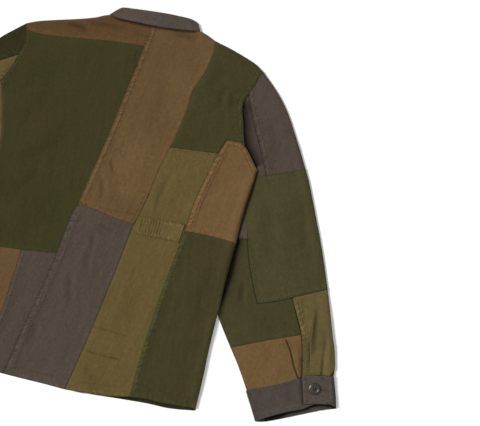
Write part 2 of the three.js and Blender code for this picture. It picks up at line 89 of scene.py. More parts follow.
def rounded_run(points: np.ndarray, step: float) -> np.ndarray:
    """Runs a smooth curve through the points of an open line.

    Args:
        points: The line's points, (n, 2).
        step: Spacing of the new points.

    Returns:
        The curve's points, its two ends included.
    """
    if len(points) < 3:
        count = max(1, round(float(np.linalg.norm(points[-1] - points[0])) / step))
        share = np.linspace(0.0, 1.0, count + 1)[:, None]
        return points[0] * (1 - share) + points[-1] * share
    padded = np.vstack([2 * points[0] - points[1], points, 2 * points[-1] - points[-2]])
    knots = np.concatenate([[0.0], np.cumsum(np.sqrt(np.linalg.norm(np.diff(padded, axis=0), axis=1)))])
    made = []
    for i in range(1, len(padded) - 2):
        count = max(1, round(float(np.linalg.norm(padded[i + 1] - padded[i])) / step))
        t = np.linspace(knots[i], knots[i + 1], count + 1)[:-1, None]
        k0, k1, k2, k3 = knots[i - 1:i + 3]
        p0, p1, p2, p3 = padded[i - 1:i + 3]
        a1 = (k1 - t) / (k1 - k0) * p0 + (t - k0) / (k1 - k0) * p1
        a2 = (k2 - t) / (k2 - k1) * p1 + (t - k1) / (k2 - k1) * p2
        a3 = (k3 - t) / (k3 - k2) * p2 + (t - k2) / (k3 - k2) * p3
        b1 = (k2 - t) / (k2 - k0) * a1 + (t - k0) / (k2 - k0) * a2
        b2 = (k3 - t) / (k3 - k1) * a2 + (t - k1) / (k3 - k1) * a3
        made.append((k2 - t) / (k2 - k1) * b1 + (t - k1) / (k2 - k1) * b2)
    return np.vstack([*made, points[-1:]])


@dataclass(frozen=True)
class Nearest:
    """The nearest place on a line for each of many points."""

    distance: np.ndarray
    along: np.ndarray
    side: np.ndarray       # positive on the left of the line's direction


def nearest_on(line: np.ndarray, points: np.ndarray) -> Nearest:
    """Finds the nearest place on an open line.

    Args:
        line: The line's points, (m, 2).
        points: Where to measure from, (n, 2).

    Returns:
        Distance, length along the line and side, one of each per point.
    """
    start, run = line[:-1], np.diff(line, axis=0)
    length = np.maximum(np.linalg.norm(run, axis=1), 1e-9)
    before = np.concatenate([[0.0], np.cumsum(length)[:-1]])
    distance = np.full(len(points), np.inf)
    along, side = np.zeros(len(points)), np.ones(len(points))
    for i in range(len(start)):
        offset = points - start[i]
        t = np.clip(offset @ run[i] / length[i] ** 2, 0.0, 1.0)
        gap = np.hypot(*(offset - t[:, None] * run[i]).T)
        closer = gap < distance
        distance[closer] = gap[closer]
        along[closer] = before[i] + t[closer] * length[i]
        cross = run[i][0] * offset[:, 1] - run[i][1] * offset[:, 0]
        side[closer] = np.sign(cross[closer])
    return Nearest(distance, along, side)


def inside(loop: np.ndarray, points: np.ndarray) -> np.ndarray:
    """Finds the points inside a closed loop.

    Args:
        loop: The loop's points, (m, 2).
        points: Places to test, (n, 2).

    Returns:
        True or False for each place.
    """
    ahead = np.roll(loop, -1, axis=0)
    found = np.zeros(len(points), dtype=bool)
    for (ax, ay), (bx, by) in zip(loop, ahead):
        crosses = (ay > points[:, 1]) != (by > points[:, 1])
        if ay != by:
            found ^= crosses & (points[:, 0] < (bx - ax) * (points[:, 1] - ay) / (by - ay) + ax)
    return found


class Outline:
    """The closed edge of one cloth in plan, counter-clockwise, with round stretches made smooth."""

    CORNER = math.radians(32)
    STEP = 3.0 * MM

    def __init__(self, node: str) -> None:
        """Takes the outline from the frame's solid.

        Args:
            node: Name of the frame's node.
        """
        self.node = node
        self.loop = self._smoothed(self._corners(node))

    @staticmethod
    def _corners(node: str) -> np.ndarray:
        """Walks round the solid's top in plan.

        Args:
            node: Name of the frame's node.

        Returns:
            Its corner points in order, (n, 2), without those on straight stretches.
        """
        bm = bmesh.new()
        bm.from_mesh(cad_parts[node].data)
        bmesh.ops.remove_doubles(bm, verts=bm.verts[:], dist=1e-6)
        bm.normal_update()
        lower = [f for f in bm.faces if f.normal.z < 0.3]
        bmesh.ops.delete(bm, geom=lower, context="FACES")
        onward = {l.vert: l.link_loop_next.vert for f in bm.faces for l in f.loops if l.edge.is_boundary}
        walked = [next(iter(onward))]
        while onward[walked[-1]] is not walked[0]:
            walked.append(onward[walked[-1]])
        loop = np.array([v.co.xy[:] for v in walked])
        bm.free()
        before, after = loop - np.roll(loop, 1, axis=0), np.roll(loop, -1, axis=0) - loop
        size = np.linalg.norm(before, axis=1) * np.linalg.norm(after, axis=1)
        turn = np.abs(before[:, 0] * after[:, 1] - before[:, 1] * after[:, 0]) / size
        return loop[turn > math.sin(math.radians(0.8))]

    @classmethod
    def _smoothed(cls, points: np.ndarray) -> np.ndarray:
        """Runs curves from one sharp corner to the next.

        Args:
            points: The loop's corner points, (n, 2).

        Returns:
            The loop with its round stretches made smooth.
        """
        before = points - np.roll(points, 1, axis=0)
        after = np.roll(points, -1, axis=0) - points
        turn = np.arctan2(
            before[:, 0] * after[:, 1] - before[:, 1] * after[:, 0], (before * after).sum(axis=1)
        )
        sharp = [int(i) for i in np.nonzero(np.abs(turn) > cls.CORNER)[0]]
        if not sharp:
            sharp = [0]
        runs = []
        for number, first in enumerate(sharp):
            last = sharp[(number + 1) % len(sharp)]
            count = (last - first) % len(points) or len(points)
            run = points[[(first + k) % len(points) for k in range(count + 1)]]
            runs.append(rounded_run(run, cls.STEP)[:-1])
        return np.vstack(runs)

    def shared_with(self, others: list["Outline"]) -> Optional[np.ndarray]:
        """The longest stretch of this outline that runs beside any of the others."""
        return max(self.stretches(self.beside(others), least=2), key=length_of, default=None)

    def everywhere(self) -> np.ndarray:
        """All of the outline's points, as a choice."""
        return np.ones(len(self.loop), dtype=bool)

    def below(self, y: float) -> np.ndarray:
        """Which of the outline's points lie nearer the hem than y."""
        return self.loop[:, 1] < y

    def beside(self, others: list["Outline"]) -> np.ndarray:
        """Finds where the outline runs beside others.

        Args:
            others: The outlines to look for.

        Returns:
            True for each of the outline's points that has one of them close by.
        """
        near = np.zeros(len(self.loop), dtype=bool)
        for other in others:
            closed = np.vstack([other.loop, other.loop[:1]])
            near |= nearest_on(closed, self.loop).distance < BESIDE
        return near

    def stretches(self, chosen: np.ndarray, least: int) -> list[np.ndarray]:
        """Splits chosen points into stretches that hang together.

        Args:
            chosen: True for each point that is wanted.
            least: Fewest points that a stretch may have.

        Returns:
            One open line for each stretch.
        """
        count = len(self.loop)
        if chosen.all():
            return [np.vstack([self.loop, self.loop[:1]])]
        found, start = [], int(np.nonzero(~chosen)[0][0])
        run: list[int] = []
        for k in range(1, count + 1):
            i = (start + k) % count
            if chosen[i]:
                run.append(i)
            elif run:
                found.append(run)
                run = []
        return [self.loop[r] for r in found if len(r) >= least]

    def area(self) -> float:
        """The area inside the outline."""
        x, y = self.loop.T
        return float(abs((x * np.roll(y, -1) - np.roll(x, -1) * y).sum()) / 2)

    def flat_size(self) -> tuple[float, float]:
        """Measures the smallest box round the outline, upright or turned.

        Returns:
            The box's width and length.
        """
        best = (1.0, 1.0)
        for degrees in range(0, 90, 3):
            turn = math.radians(degrees)
            axes = np.array([[math.cos(turn), -math.sin(turn)], [math.sin(turn), math.cos(turn)]])
            size = np.ptp(self.loop @ axes, axis=0)
            if size[0] * size[1] < best[0] * best[1]:
                best = (float(size[0]), float(size[1]))
        return best


# ------------------------------------------------------------------------------- relief of the cloth
@dataclass(frozen=True)
class Crease:
    """A soft ridge, or a trough if height is negative, laid along a line given in millimetres."""

    line: tuple[tuple[float, float], ...]
    height: float
    width: float
    right_width: float = 0.0          # its own width on the right of the line, for a folded pleat
    fade: tuple[float, float] = (0.35, 0.35)
    shade: float = 0.0                # painted shade: how much darker the cloth is painted where shade falls in it; a negative value lightens its own tone

    def mirrored(self, way: int) -> "Crease":
        """The same crease on the side of the jacket that way gives, 1 or -1."""
        return replace(self, line=tuple((way * x, y) for x, y in self.line))

    def rise(self, points: np.ndarray) -> np.ndarray:
        """How far the crease lifts the cloth at each point, in metres."""
        return self.height * MM * self.strength(points)

    def strength(self, points: np.ndarray) -> np.ndarray:
        """How strongly the crease is felt.

        Args:
            points: Places in plan, (n, 2).

        Returns:
            A number from 0 to 1 for each place.
        """
        run = rounded_run(np.array(self.line) * MM, 6 * MM)
        near = nearest_on(run, points)
        share = near.along / length_of(run)
        window = np.ones(len(points))
        if self.fade[0]:
            window *= smooth_step(share, 0.0, self.fade[0])
        if self.fade[1]:
            window *= smooth_step(1 - share, 0.0, self.fade[1])
        width = np.where(near.side < 0, self.right_width or self.width, self.width) * MM
        return np.exp(-((near.distance / width) ** 2)) * window


@dataclass(frozen=True)
class Ripples:
    """Soft uneven swells of a washed cloth: sums of waves in every direction."""

    seed: int
    octaves: tuple[tuple[float, float], ...] = ((190, 0.80), (95, 0.42), (48, 0.2), (26, 0.1), (15, 0.05))
    waves: int = 7

    def rise(self, points: np.ndarray) -> np.ndarray:
        """Adds up the waves.

        Args:
            points: Places in plan, (n, 2).

        Returns:
            The swell's height at each place, in metres.
        """
        rng = np.random.default_rng(self.seed)
        total = np.zeros(len(points))
        for length, height in self.octaves:
            for _ in range(self.waves):
                angle, phase = rng.uniform(0, 2 * math.pi, 2)
                pitch = length * MM * rng.uniform(0.75, 1.3)
                way = np.array([math.cos(angle), math.sin(angle)]) * 2 * math.pi / pitch
                total += height * MM / math.sqrt(self.waves) * np.sin(points @ way + phase)
        return total


@dataclass(frozen=True)
class SeamPlan:
    """How two pieces are joined: the band lies on one, beside the edge that it shares with the other."""

    band: str
    other: tuple[str, ...]
    rows: tuple[float, ...] = (2.0, 9.0)      # rows of stitches, in millimetres from the edge
    lift: float = 0.8                         # how far the folded layers raise the band
    roping: float = 0.35                      # height of the puckers along the band
    mark: float = 0.40                        # how dark the shade painted along the joining line is
    reach: tuple[float, float] = (-1000, 1000)    # the stretch of it that this plan covers, along Y


@dataclass
class SeamRun:
    """One stretch of a seam or hem as it lies on one piece."""

    line: np.ndarray
    node: str
    on_band: bool
    rows: tuple[float, ...]
    lift: float
    roping: float
    seed: int
    # how dark the shade painted along the edge is
    mark: float = 0.10

    @property
    def width(self) -> float:
        """Width of the band of folded cloth, in metres."""
        return (max(self.rows) + 1.8 if self.rows else 5.0) * MM

    def pucker(self, along: np.ndarray, depth: np.ndarray) -> np.ndarray:
        """Slanting puckers from the pull of the stitches.

        Args:
            along: Lengths along the seam.
            depth: Distances from it.

        Returns:
            A number from -1 to 1 for each place.
        """
        rng = np.random.default_rng(self.seed)
        total = np.zeros(len(along))
        for pitch in (7.0, 9.5, 13.0, 21.0):
            phase, lean = rng.uniform(0, 2 * math.pi), rng.uniform(0.3, 0.9)
            total += np.sin((along + lean * depth) / (pitch * MM) * 2 * math.pi + phase)
        return total / 4

    def rise(self, points: np.ndarray) -> np.ndarray:
        """How far the seam lifts its piece.

        Args:
            points: Places in plan, (n, 2).

        Returns:
            The lift at each place, in metres.
        """
        near = nearest_on(self.line, points)
        depth = near.distance
        if not self.on_band:
            dip = -0.35 * MM * np.exp(-depth / (2.5 * MM))
            swell = 0.55 * self.roping * MM * self.pucker(near.along, -depth)
            return dip + swell * np.exp(-depth / (7 * MM))
        flat = 1.0 - smooth_step(depth, self.width - 2.5 * MM, self.width + 4.5 * MM)
        edge = -0.45 * MM * np.clip(1 - depth / (1.6 * MM), 0, 1) ** 2
        groove = np.zeros(len(points))
        for row in self.rows:
            groove -= 0.16 * MM * np.exp(-(((depth - row * MM) / (1.2 * MM)) ** 2))
        reach = np.exp(-np.maximum(depth - self.width, 0) / (6 * MM))
        puckers = self.roping * MM * self.pucker(near.along, depth) * reach
        return self.lift * MM * flat + edge + groove + puckers


class Layer:
    """One layer of cloth: the frame's heights made smooth, with its creases, swells and seams."""

    CELL = 5.0 * MM
    BLUR = 3                       # cells

    def __init__(
        self,
        nodes: tuple[str, ...],
        face: Face = Face.UP,
        creases: tuple[Crease, ...] = (),
        ripples: Optional[Ripples] = None,
        swell: float = 1.0,
    ) -> None:
        """Reads the layer's heights from the frame's solids.

        Args:
            nodes: The frame's nodes that make up the layer.
            face: Which of their sides is read.
            creases: Creases of the whole layer.
            ripples: Its uneven swells.
            swell: How strongly the swells show.
        """
        self.nodes = nodes
        self.face = face
        self.creases = creases
        self.ripples = ripples
        self.swell = swell
        self.outlines = {node: Outline(node) for node in nodes}
        self.seams: dict[str, list[SeamRun]] = {node: [] for node in nodes}
        self.folds: dict[str, list[np.ndarray]] = {node: [] for node in nodes}
        self._read_heights()

    def _read_heights(self) -> None:
        """Fills the map of heights by looking straight at the solids."""
        corners = np.array([[c[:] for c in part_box(node)] for node in self.nodes])
        self.low = corners[:, 0, :2].min(axis=0) - 4 * self.CELL
        high = corners[:, 1, :2].max(axis=0) + 4 * self.CELL
        verts: list[Vector] = []
        faces: list[tuple[int, ...]] = []
        for node in self.nodes:
            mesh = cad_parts[node].data
            first = len(verts)
            verts += [v.co.copy() for v in mesh.vertices]
            faces += [tuple(first + i for i in p.vertices) for p in mesh.polygons]
        tree = BVHTree.FromPolygons(verts, faces)
        count = np.ceil((high - self.low) / self.CELL).astype(int) + 1
        heights = np.full(count, np.nan)
        toward = Vector((0, 0, -self.face.value))
        for i in range(count[0]):
            for j in range(count[1]):
                x, y = self.low + np.array([i, j]) * self.CELL
                hit = tree.ray_cast(Vector((x, y, self.face.value)), toward)[0]
                if hit is not None:
                    heights[i, j] = hit.z
        self.heights = self._blurred(self._filled(heights))

    @staticmethod
    def _filled(heights: np.ndarray) -> np.ndarray:
        """Carries the heights outwards over the cells that have none.

        Args:
            heights: The map, with nan in its empty cells.

        Returns:
            The map without empty cells.
        """
        known = ~np.isnan(heights)
        heights = np.where(known, heights, 0.0)
        while not known.all():
            total, weight = np.zeros_like(heights), np.zeros_like(heights)
            for axis in (0, 1):
                for shift in (1, -1):
                    total += np.roll(np.where(known, heights, 0.0), shift, axis)
                    weight += np.roll(known.astype(float), shift, axis)
            fresh = ~known & (weight > 0)
            heights[fresh] = total[fresh] / weight[fresh]
            known = known | fresh
        return heights

    def _blurred(self, heights: np.ndarray) -> np.ndarray:
        """Rounds off the facets of the frame's solids.

        Args:
            heights: The map of heights.

        Returns:
            The smoothed map.
        """
        reach = 3 * self.BLUR
        kernel = np.exp(-0.5 * (np.arange(-reach, reach + 1) / self.BLUR) ** 2)
        kernel /= kernel.sum()
        padded = np.pad(heights, reach, mode="edge")
        for axis in (0, 1):
            padded = np.apply_along_axis(np.convolve, axis, padded, kernel, "valid")
        return padded

    def base(self, points: np.ndarray) -> np.ndarray:
        """The frame's own height, between cells by their corners.

        Args:
            points: Places in plan, (n, 2).

        Returns:
            One height for each place.
        """
        place = (points - self.low) / self.CELL
        limit = np.array(self.heights.shape) - 2
        cell = np.clip(np.floor(place).astype(int), 0, limit)
        x, y = np.clip(place - cell, 0, 1).T
        i, j = cell.T
        z = self.heights
        return (
            z[i, j] * (1 - x) * (1 - y) + z[i + 1, j] * x * (1 - y)
            + z[i, j + 1] * (1 - x) * y + z[i + 1, j + 1] * x * y
        )

    def join(self, plans: tuple[SeamPlan, ...]) -> None:
        """Lays each planned seam along the edge that its pieces share.

        Args:
            plans: The layer's seams.
        """
        for plan in plans:
            band = self.outlines[plan.band]
            others = [self.outlines[name] for name in plan.other]
            line = self._within(band.shared_with(others), plan.reach)
            if line is None:
                log.warning("no shared edge: %s", plan)
                continue
            seed = len(self.seams[plan.band]) + 17 * self.nodes.index(plan.band)
            self.seams[plan.band].append(
                SeamRun(line, plan.band, True, plan.rows, plan.lift, plan.roping, seed, plan.mark)
            )
            for other in others:
                beside = self._within(other.shared_with([band]), plan.reach)
                if beside is not None:
                    self.seams[other.node].append(
                        SeamRun(beside, other.node, False, (), 0.0, plan.roping, seed, plan.mark)
                    )

    @staticmethod
    def _within(line: Optional[np.ndarray], reach: tuple[float, float]) -> Optional[np.ndarray]:
        """Keeps the part of a line between two places along Y.

        Args:
            line: The line, or None.
            reach: The two places, in millimetres.

        Returns:
            That part, or None if there's none.
        """
        if line is None:
            return None
        kept = line[(line[:, 1] >= reach[0] * MM) & (line[:, 1] <= reach[1] * MM)]
        return kept if len(kept) > 1 else None

    def fold_free_edges(self, neighbours: tuple["Layer", ...] = (), hem_y: float = -1.0) -> None:
        """Finds the free edges above the hem. They are folds, rounded down to the layer below.

        Args:
            neighbours: Layers whose cloth this one is sewn to at armholes and cuffs.
            hem_y: Points below this are on the hem.
        """
        near = [o for layer in neighbours for o in layer.outlines.values()]
        for node, outline in self.outlines.items():
            y = outline.loop[:, 1]
            joined = outline.beside([o for o in self.outlines.values() if o is not outline])
            joined |= outline.beside(near) & ((y > UNDERARM_Y) | (y < CUFF_Y))
            self.folds[node] = outline.stretches(~joined & (y > hem_y), least=3)

    def hem(self, node: str, chosen: np.ndarray, rows: tuple[float, ...],
            lift: float = 0.5, roping: float = 0.25) -> None:
        """Adds a turned edge with its rows of stitches.

        Args:
            node: The piece whose edge is turned.
            chosen: True for each point of its outline that is on that edge.
            rows: Rows of stitches, in millimetres from the edge.
            lift: How far the turned cloth raises it, in millimetres.
            roping: Height of its puckers, in millimetres.
        """
        for line in self.outlines[node].stretches(chosen, least=6):
            seed = 91 + len(self.seams[node])
            self.seams[node].append(SeamRun(line, node, True, rows, lift, roping, seed))

    def height(self, points: np.ndarray, node: str) -> np.ndarray:
        """Height of a piece's good side at each point, in metres.

        Args:
            points: Places in plan, (n, 2).
            node: The piece.

        Returns:
            One height per point.
        """
        rise = np.zeros(len(points))
        for crease in self.creases:
            rise += crease.rise(points)
        if self.ripples is not None:
            rise += self.swell * self.ripples.rise(points)
        for seam in self.seams[node]:
            rise += seam.rise(points)
        z = self.base(points)
        if self.face is Face.UP:
            z = z + rise
        else:
            z = z + np.maximum(rise, 0.0)
        return self._rounded(points, node, z)

    def _rounded(self, points: np.ndarray, node: str, z: np.ndarray) -> np.ndarray:
        """Rounds the piece over at its folded edges, to meet the other half of the fold.

        The folds stand fuller between the underarm and the cuffs.

        Args:
            points: Places in plan, (n, 2).
            node: The piece.
            z: Its heights there.

        Returns:
            The rounded heights.
        """
        cuff = smooth_step(-points[:, 1], 0.222, 0.236) * (np.abs(points[:, 0]) > 0.3)
        fuller = smooth_step(-points[:, 1], 0.085, 0.135) * (1 - cuff)
        rim = (2.7 + 1.9 * fuller) * MM
        reach = (5.4 - 1.4 * fuller) * MM
        for fold in self.folds[node]:
            t = np.clip(1 - nearest_on(fold, points).distance / reach, 0, 1)
            bend = 1 - np.sqrt(np.clip(1 - t**2.2, 0, 1))
            if self.face is Face.UP:
                z = z - bend * np.maximum(z - rim, 0.0)
            else:
                z = z + bend * (rim - 2.1 * MM)
        return np.maximum(z, LEAST_TOP) if self.face is Face.UP else z


# ------------------------------------------------------------------------------- finishes
Colour = tuple[float, float, float]
Parts = tuple[tuple[bpy.types.NodeSocket, float], ...]


class NodeTree:
    """A short way of writing a material's nodes."""

    def __init__(self, name: str) -> None:
        """Starts an empty material.

        Args:
            name: The material's name.
        """
        self.material = bpy.data.materials.new(name)
        self.material.use_nodes = True
        self.tree = self.material.node_tree
        self.tree.nodes.clear()
        self.shader = self.add("ShaderNodeBsdfPrincipled")
        output = self.add("ShaderNodeOutputMaterial")
        self.link(self.shader.outputs["BSDF"], output.inputs["Surface"])

    def add(self, kind: str, **settings: object) -> bpy.types.Node:
        """Adds a node.

        Args:
            kind: Its type.
            **settings: Its properties.

        Returns:
            The node.
        """
        node = self.tree.nodes.new(kind)
        for key, value in settings.items():
            setattr(node, key, value)
        return node

    def link(self, source: bpy.types.NodeSocket, target: bpy.types.NodeSocket) -> None:
        """Joins two sockets."""
        self.tree.links.new(source, target)

    def math(self, operation: str, *values: object) -> bpy.types.NodeSocket:
        """A sum, product or other operation.

        Args:
            operation: Its name.
            *values: The sockets and numbers that it takes.

        Returns:
            The result's socket.
        """
        node = self.add("ShaderNodeMath", operation=operation)
        for i, value in enumerate(values):
            if isinstance(value, bpy.types.NodeSocket):
                self.link(value, node.inputs[i])
            else:
                node.inputs[i].default_value = float(value)
        return node.outputs[0]

    def total(self, start: float, parts: Parts) -> bpy.types.NodeSocket:
        """Adds up parts, each times its strength.

        Args:
            start: What they are added to.
            parts: Each part's socket and its strength.

        Returns:
            The sum's socket.
        """
        result: object = start
        for source, strength in parts:
            result = self.math("ADD", result, self.math("MULTIPLY", source, strength))
        return result

    def mapped(self, turn: float, scale: tuple[float, float, float]) -> bpy.types.NodeSocket:
        """Object coordinates turned about Z, then scaled.

        Args:
            turn: The angle.
            scale: One factor for each axis.

        Returns:
            The coordinates' socket.
        """
        place = self.add("ShaderNodeTexCoord")
        turned = self.add("ShaderNodeMapping")
        turned.inputs["Rotation"].default_value = (0, 0, turn)
        self.link(place.outputs["Object"], turned.inputs["Vector"])
        scaled = self.add("ShaderNodeVectorMath", operation="MULTIPLY")
        scaled.inputs[1].default_value = scale
        self.link(turned.outputs["Vector"], scaled.inputs[0])
        return scaled.outputs["Vector"]

    def noise(self, vector: bpy.types.NodeSocket, scale: float, detail: float = 2.0,
              roughness: float = 0.5) -> bpy.types.NodeSocket:
        """Noise centred on 0, about -0.5 to 0.5.

        Args:
            vector: The coordinates.
            scale: How fine it is.
            detail: How many finer layers it has.
            roughness: How strong those are.

        Returns:
            The noise's socket.
        """
        node = self.add("ShaderNodeTexNoise")
        node.inputs["Scale"].default_value = scale
        node.inputs["Detail"].default_value = detail
        node.inputs["Roughness"].default_value = roughness
        self.link(vector, node.inputs["Vector"])
        return self.math("SUBTRACT", node.outputs["Fac"], 0.5)

    def attribute(self, name: str) -> bpy.types.NodeSocket:
        """A number kept on the piece's points."""
        return self.add("ShaderNodeAttribute", attribute_name=name).outputs["Fac"]

    def bell(self, value: bpy.types.NodeSocket, width: float) -> bpy.types.NodeSocket:
        """A smooth bump, 1 where the value is 0.

        Args:
            value: The value.
            width: Where the bump has fallen to 0, on both sides.

        Returns:
            The bump's socket.
        """
        spread = self.add("ShaderNodeMapRange", interpolation_type="SMOOTHSTEP")
        spread.inputs["From Min"].default_value = width
        spread.inputs["From Max"].default_value = 0.0
        self.link(self.math("ABSOLUTE", value), spread.inputs["Value"])
        return spread.outputs["Result"]


@dataclass(frozen=True)
class Finish:
    """A finish of some pieces: a name, the frame's material slot and the main colour."""

    name: str
    slot: str
    colour: Colour

    def material(self) -> bpy.types.Material:
        """Gives the finish's material, made at the first call.

        Returns:
            The material.
        """
        made = bpy.data.materials.get(self.name)
        if made is None:
            nodes = NodeTree(self.name)
            self._dress(nodes)
            made = nodes.material
        return made

    def _dress(self, n: NodeTree) -> None:
        """Lays the nodes of the material."""
        raise NotImplementedError

    @staticmethod
    def _set_bump(n: NodeTree, height: bpy.types.NodeSocket, distance: float) -> None:
        """Raises the surface.

        Args:
            n: The material's nodes.
            height: Height of the surface.
            distance: How much a height of 1 stands for, in metres.
        """
        bump = n.add("ShaderNodeBump")
        bump.inputs["Distance"].default_value = distance
        bump.inputs["Strength"].default_value = 1.0
        n.link(height, bump.inputs["Height"])
        n.link(bump.outputs["Normal"], n.shader.inputs["Normal"])


@dataclass(frozen=True)
class Twill(Finish):
    """Brushed cotton twill, washed and slightly faded along its seams."""

    tint: Colour               # the dye's other shade, in soft clouds
    seam_tint: Colour          # its shade beside the seams
    grain: float = 0.0         # direction of the warp, in degrees from +Y
    heather: float = 0.30      # strength of the small light and dark flecks
    cloud: float = 0.12        # strength of the faded clouds
    fade: float = 0.04         # how much lighter the seams are worn

    def _dress(self, n: NodeTree) -> None:
        """Lays the weave, the dye's clouds, the wear along the seams and the painted shade of seams and
        creases.

        Args:
            n: The material's nodes.
        """
        turn = math.radians(-self.grain)
        plain = n.mapped(turn, (1, 1, 1))
        weave = self._weave(n, plain, turn)
        seam = self._seams(n)
        # Puckers along the band: lighter on their crests and darker in their troughs, partly real wear and
        # partly painted light and shade.
        puckers = n.math("MULTIPLY", seam["pucker"], seam["band"])
        # The cloth's own tone and wear, with painted shade in the rows' grooves and along the joining line.
        shade = n.total(1.0, (
            (n.noise(plain, 11, 3.0, 0.55), self.cloud), (weave["ribs"], 0.08), (weave["slubs"], 0.25),
            (weave["streaks"], 0.34), (weave["flecks"], self.heather), (weave["crumple"], 0.50),
            (puckers, 2.1), (seam["band"], self.fade), (seam["rows"], -0.42), (seam["wear_and_painted_highlight"], 0.13),
            (seam["edge_groove_and_painted_shade"], -1.0),
        ))
        # The creases' painted shade, kept on the points; negative values lighten the cloth's own tone.
        shade = n.math("MULTIPLY", shade, n.math("SUBTRACT", 1.0, n.attribute("shade")))
        lit = n.add("ShaderNodeVectorMath", operation="SCALE")
        n.link(self._dye(n, plain, seam["beside"]), lit.inputs[0])
        n.link(n.math("MAXIMUM", shade, 0.03), lit.inputs["Scale"])
        n.link(lit.outputs["Vector"], n.shader.inputs["Base Color"])

        height = n.total(0.0, (
            (weave["ribs"], 0.06), (weave["slubs"], 0.18), (weave["crumple"], 1.0), (weave["flecks"], 0.10),
            (seam["rows"], -0.5), (seam["edge_groove_and_painted_shade"], -1.0), (puckers, 2.4),
        ))
        self._set_bump(n, height, MM)
        n.shader.inputs["Roughness"].default_value = 0.92
        n.shader.inputs["Specular IOR Level"].default_value = 0.12
        n.shader.inputs["Sheen Weight"].default_value = 0.06
        n.shader.inputs["Sheen Roughness"].default_value = 0.45

    @staticmethod
    def _weave(n: NodeTree, plain: bpy.types.NodeSocket, turn: float) -> dict[str, bpy.types.NodeSocket]:
        """Lays the patterns of the woven cloth.

        Args:
            n: The material's nodes.
            plain: Coordinates along the warp and the weft.
            turn: The warp's angle.

        Returns:
            The twill's ribs, the yarn's slubs and streaks, its flecks and the wash's crumple.
        """
        warp = n.mapped(turn, (1, 0.09, 1))
        weft = n.mapped(turn, (0.12, 1, 1))
        wave = n.add("ShaderNodeTexWave", bands_direction="DIAGONAL")
        wave.inputs["Scale"].default_value = 420.0
        wave.inputs["Distortion"].default_value = 1.2
        wave.inputs["Detail"].default_value = 1.0
        wave.inputs["Detail Scale"].default_value = 2.0
        n.link(plain, wave.inputs["Vector"])
        return {
            "ribs": n.math("SUBTRACT", wave.outputs["Fac"], 0.5),
            "slubs": n.math("ADD", n.noise(warp, 950, 2.0), n.noise(weft, 800, 2.0)),
            "streaks": n.noise(warp, 160, 3.0, 0.6),
            "flecks": n.noise(plain, 430, 3.0, 0.75),
            "crumple": n.noise(plain, 150, 4.0, 0.62),
        }

    @staticmethod
    def _seams(n: NodeTree) -> dict[str, bpy.types.NodeSocket]:
        """Lays the marks of the nearest seam, from what the piece's points keep about it.

        Args:
            n: The material's nodes.

        Returns:
            The cloth beside the seam, its folded band, the puckers, the painted shade in the rows' grooves,
            the painted shade along the turned edge and the lighter ridge, partly worn and partly a painted
            highlight.
        """
        depth = n.math("MULTIPLY", n.attribute("seam_depth"), 1000)
        along = n.math("MULTIPLY", n.attribute("seam_along"), 1000)
        rope = n.attribute("seam_rope")
        slant = n.add("ShaderNodeCombineXYZ")
        leaning = n.math("ADD", along, n.math("MULTIPLY", depth, 0.5))
        n.link(n.math("MULTIPLY", leaning, 0.24), slant.inputs["X"])
        n.link(n.math("MULTIPLY", depth, 0.10), slant.inputs["Y"])
        pucker = n.noise(slant.outputs["Vector"], 1.0, 3.0, 0.65)
        # The rows of stitches are painted darker in dashes, as shade in their grooves.
        first = n.bell(n.math("SUBTRACT", depth, n.attribute("seam_row_a")), 1.7)
        second = n.bell(n.math("SUBTRACT", depth, n.attribute("seam_row_b")), 1.7)
        dashes = n.math("MULTIPLY_ADD", n.math("SINE", n.math("MULTIPLY", along, 1.25)), 0.30, 0.70)
        # The band's ridge is lighter, partly real wear and partly a painted highlight on the puckers'
        # crests.
        worn = n.math("MULTIPLY", n.bell(n.math("SUBTRACT", depth, 4.6), 3.4), rope)
        return {
            "beside": n.bell(depth, 11),
            "band": n.math("MULTIPLY", n.bell(n.math("SUBTRACT", depth, 5.0), 10), rope),
            "pucker": pucker,
            "rows": n.math("MULTIPLY", n.math("MAXIMUM", first, second), dashes),
            # painted shade along the joining line; the same mask also sinks the bump into a groove
            "edge_groove_and_painted_shade": n.math("MULTIPLY", n.bell(depth, 1.9), n.attribute("seam_edge_painted_shade")),
            "wear_and_painted_highlight": n.math("MULTIPLY", worn, n.math("MULTIPLY_ADD", pucker, 3.0, 0.8)),
        }

    def _dye(
        self, n: NodeTree, plain: bpy.types.NodeSocket, beside: bpy.types.NodeSocket
    ) -> bpy.types.NodeSocket:
        """Mixes the dye's shades.

        Args:
            n: The material's nodes.
            plain: Coordinates along the warp and the weft.
            beside: How near a seam is.

        Returns:
            The dye's colour.
        """
        dye = n.add("ShaderNodeMix", data_type="RGBA")
        dye.inputs["A"].default_value = (*self.colour, 1)
        dye.inputs["B"].default_value = (*self.tint, 1)
        mottle = n.noise(plain, 7, 4.0, 0.6)
        n.link(n.math("ADD", 0.5, n.math("MULTIPLY", mottle, 1.6)), dye.inputs["Factor"])
        seam_dye = n.add("ShaderNodeMix", data_type="RGBA")
        n.link(dye.outputs["Result"], seam_dye.inputs["A"])
        seam_dye.inputs["B"].default_value = (*self.seam_tint, 1)
        n.link(n.math("MULTIPLY", beside, 0.55), seam_dye.inputs["Factor"])
        return seam_dye.outputs["Result"]


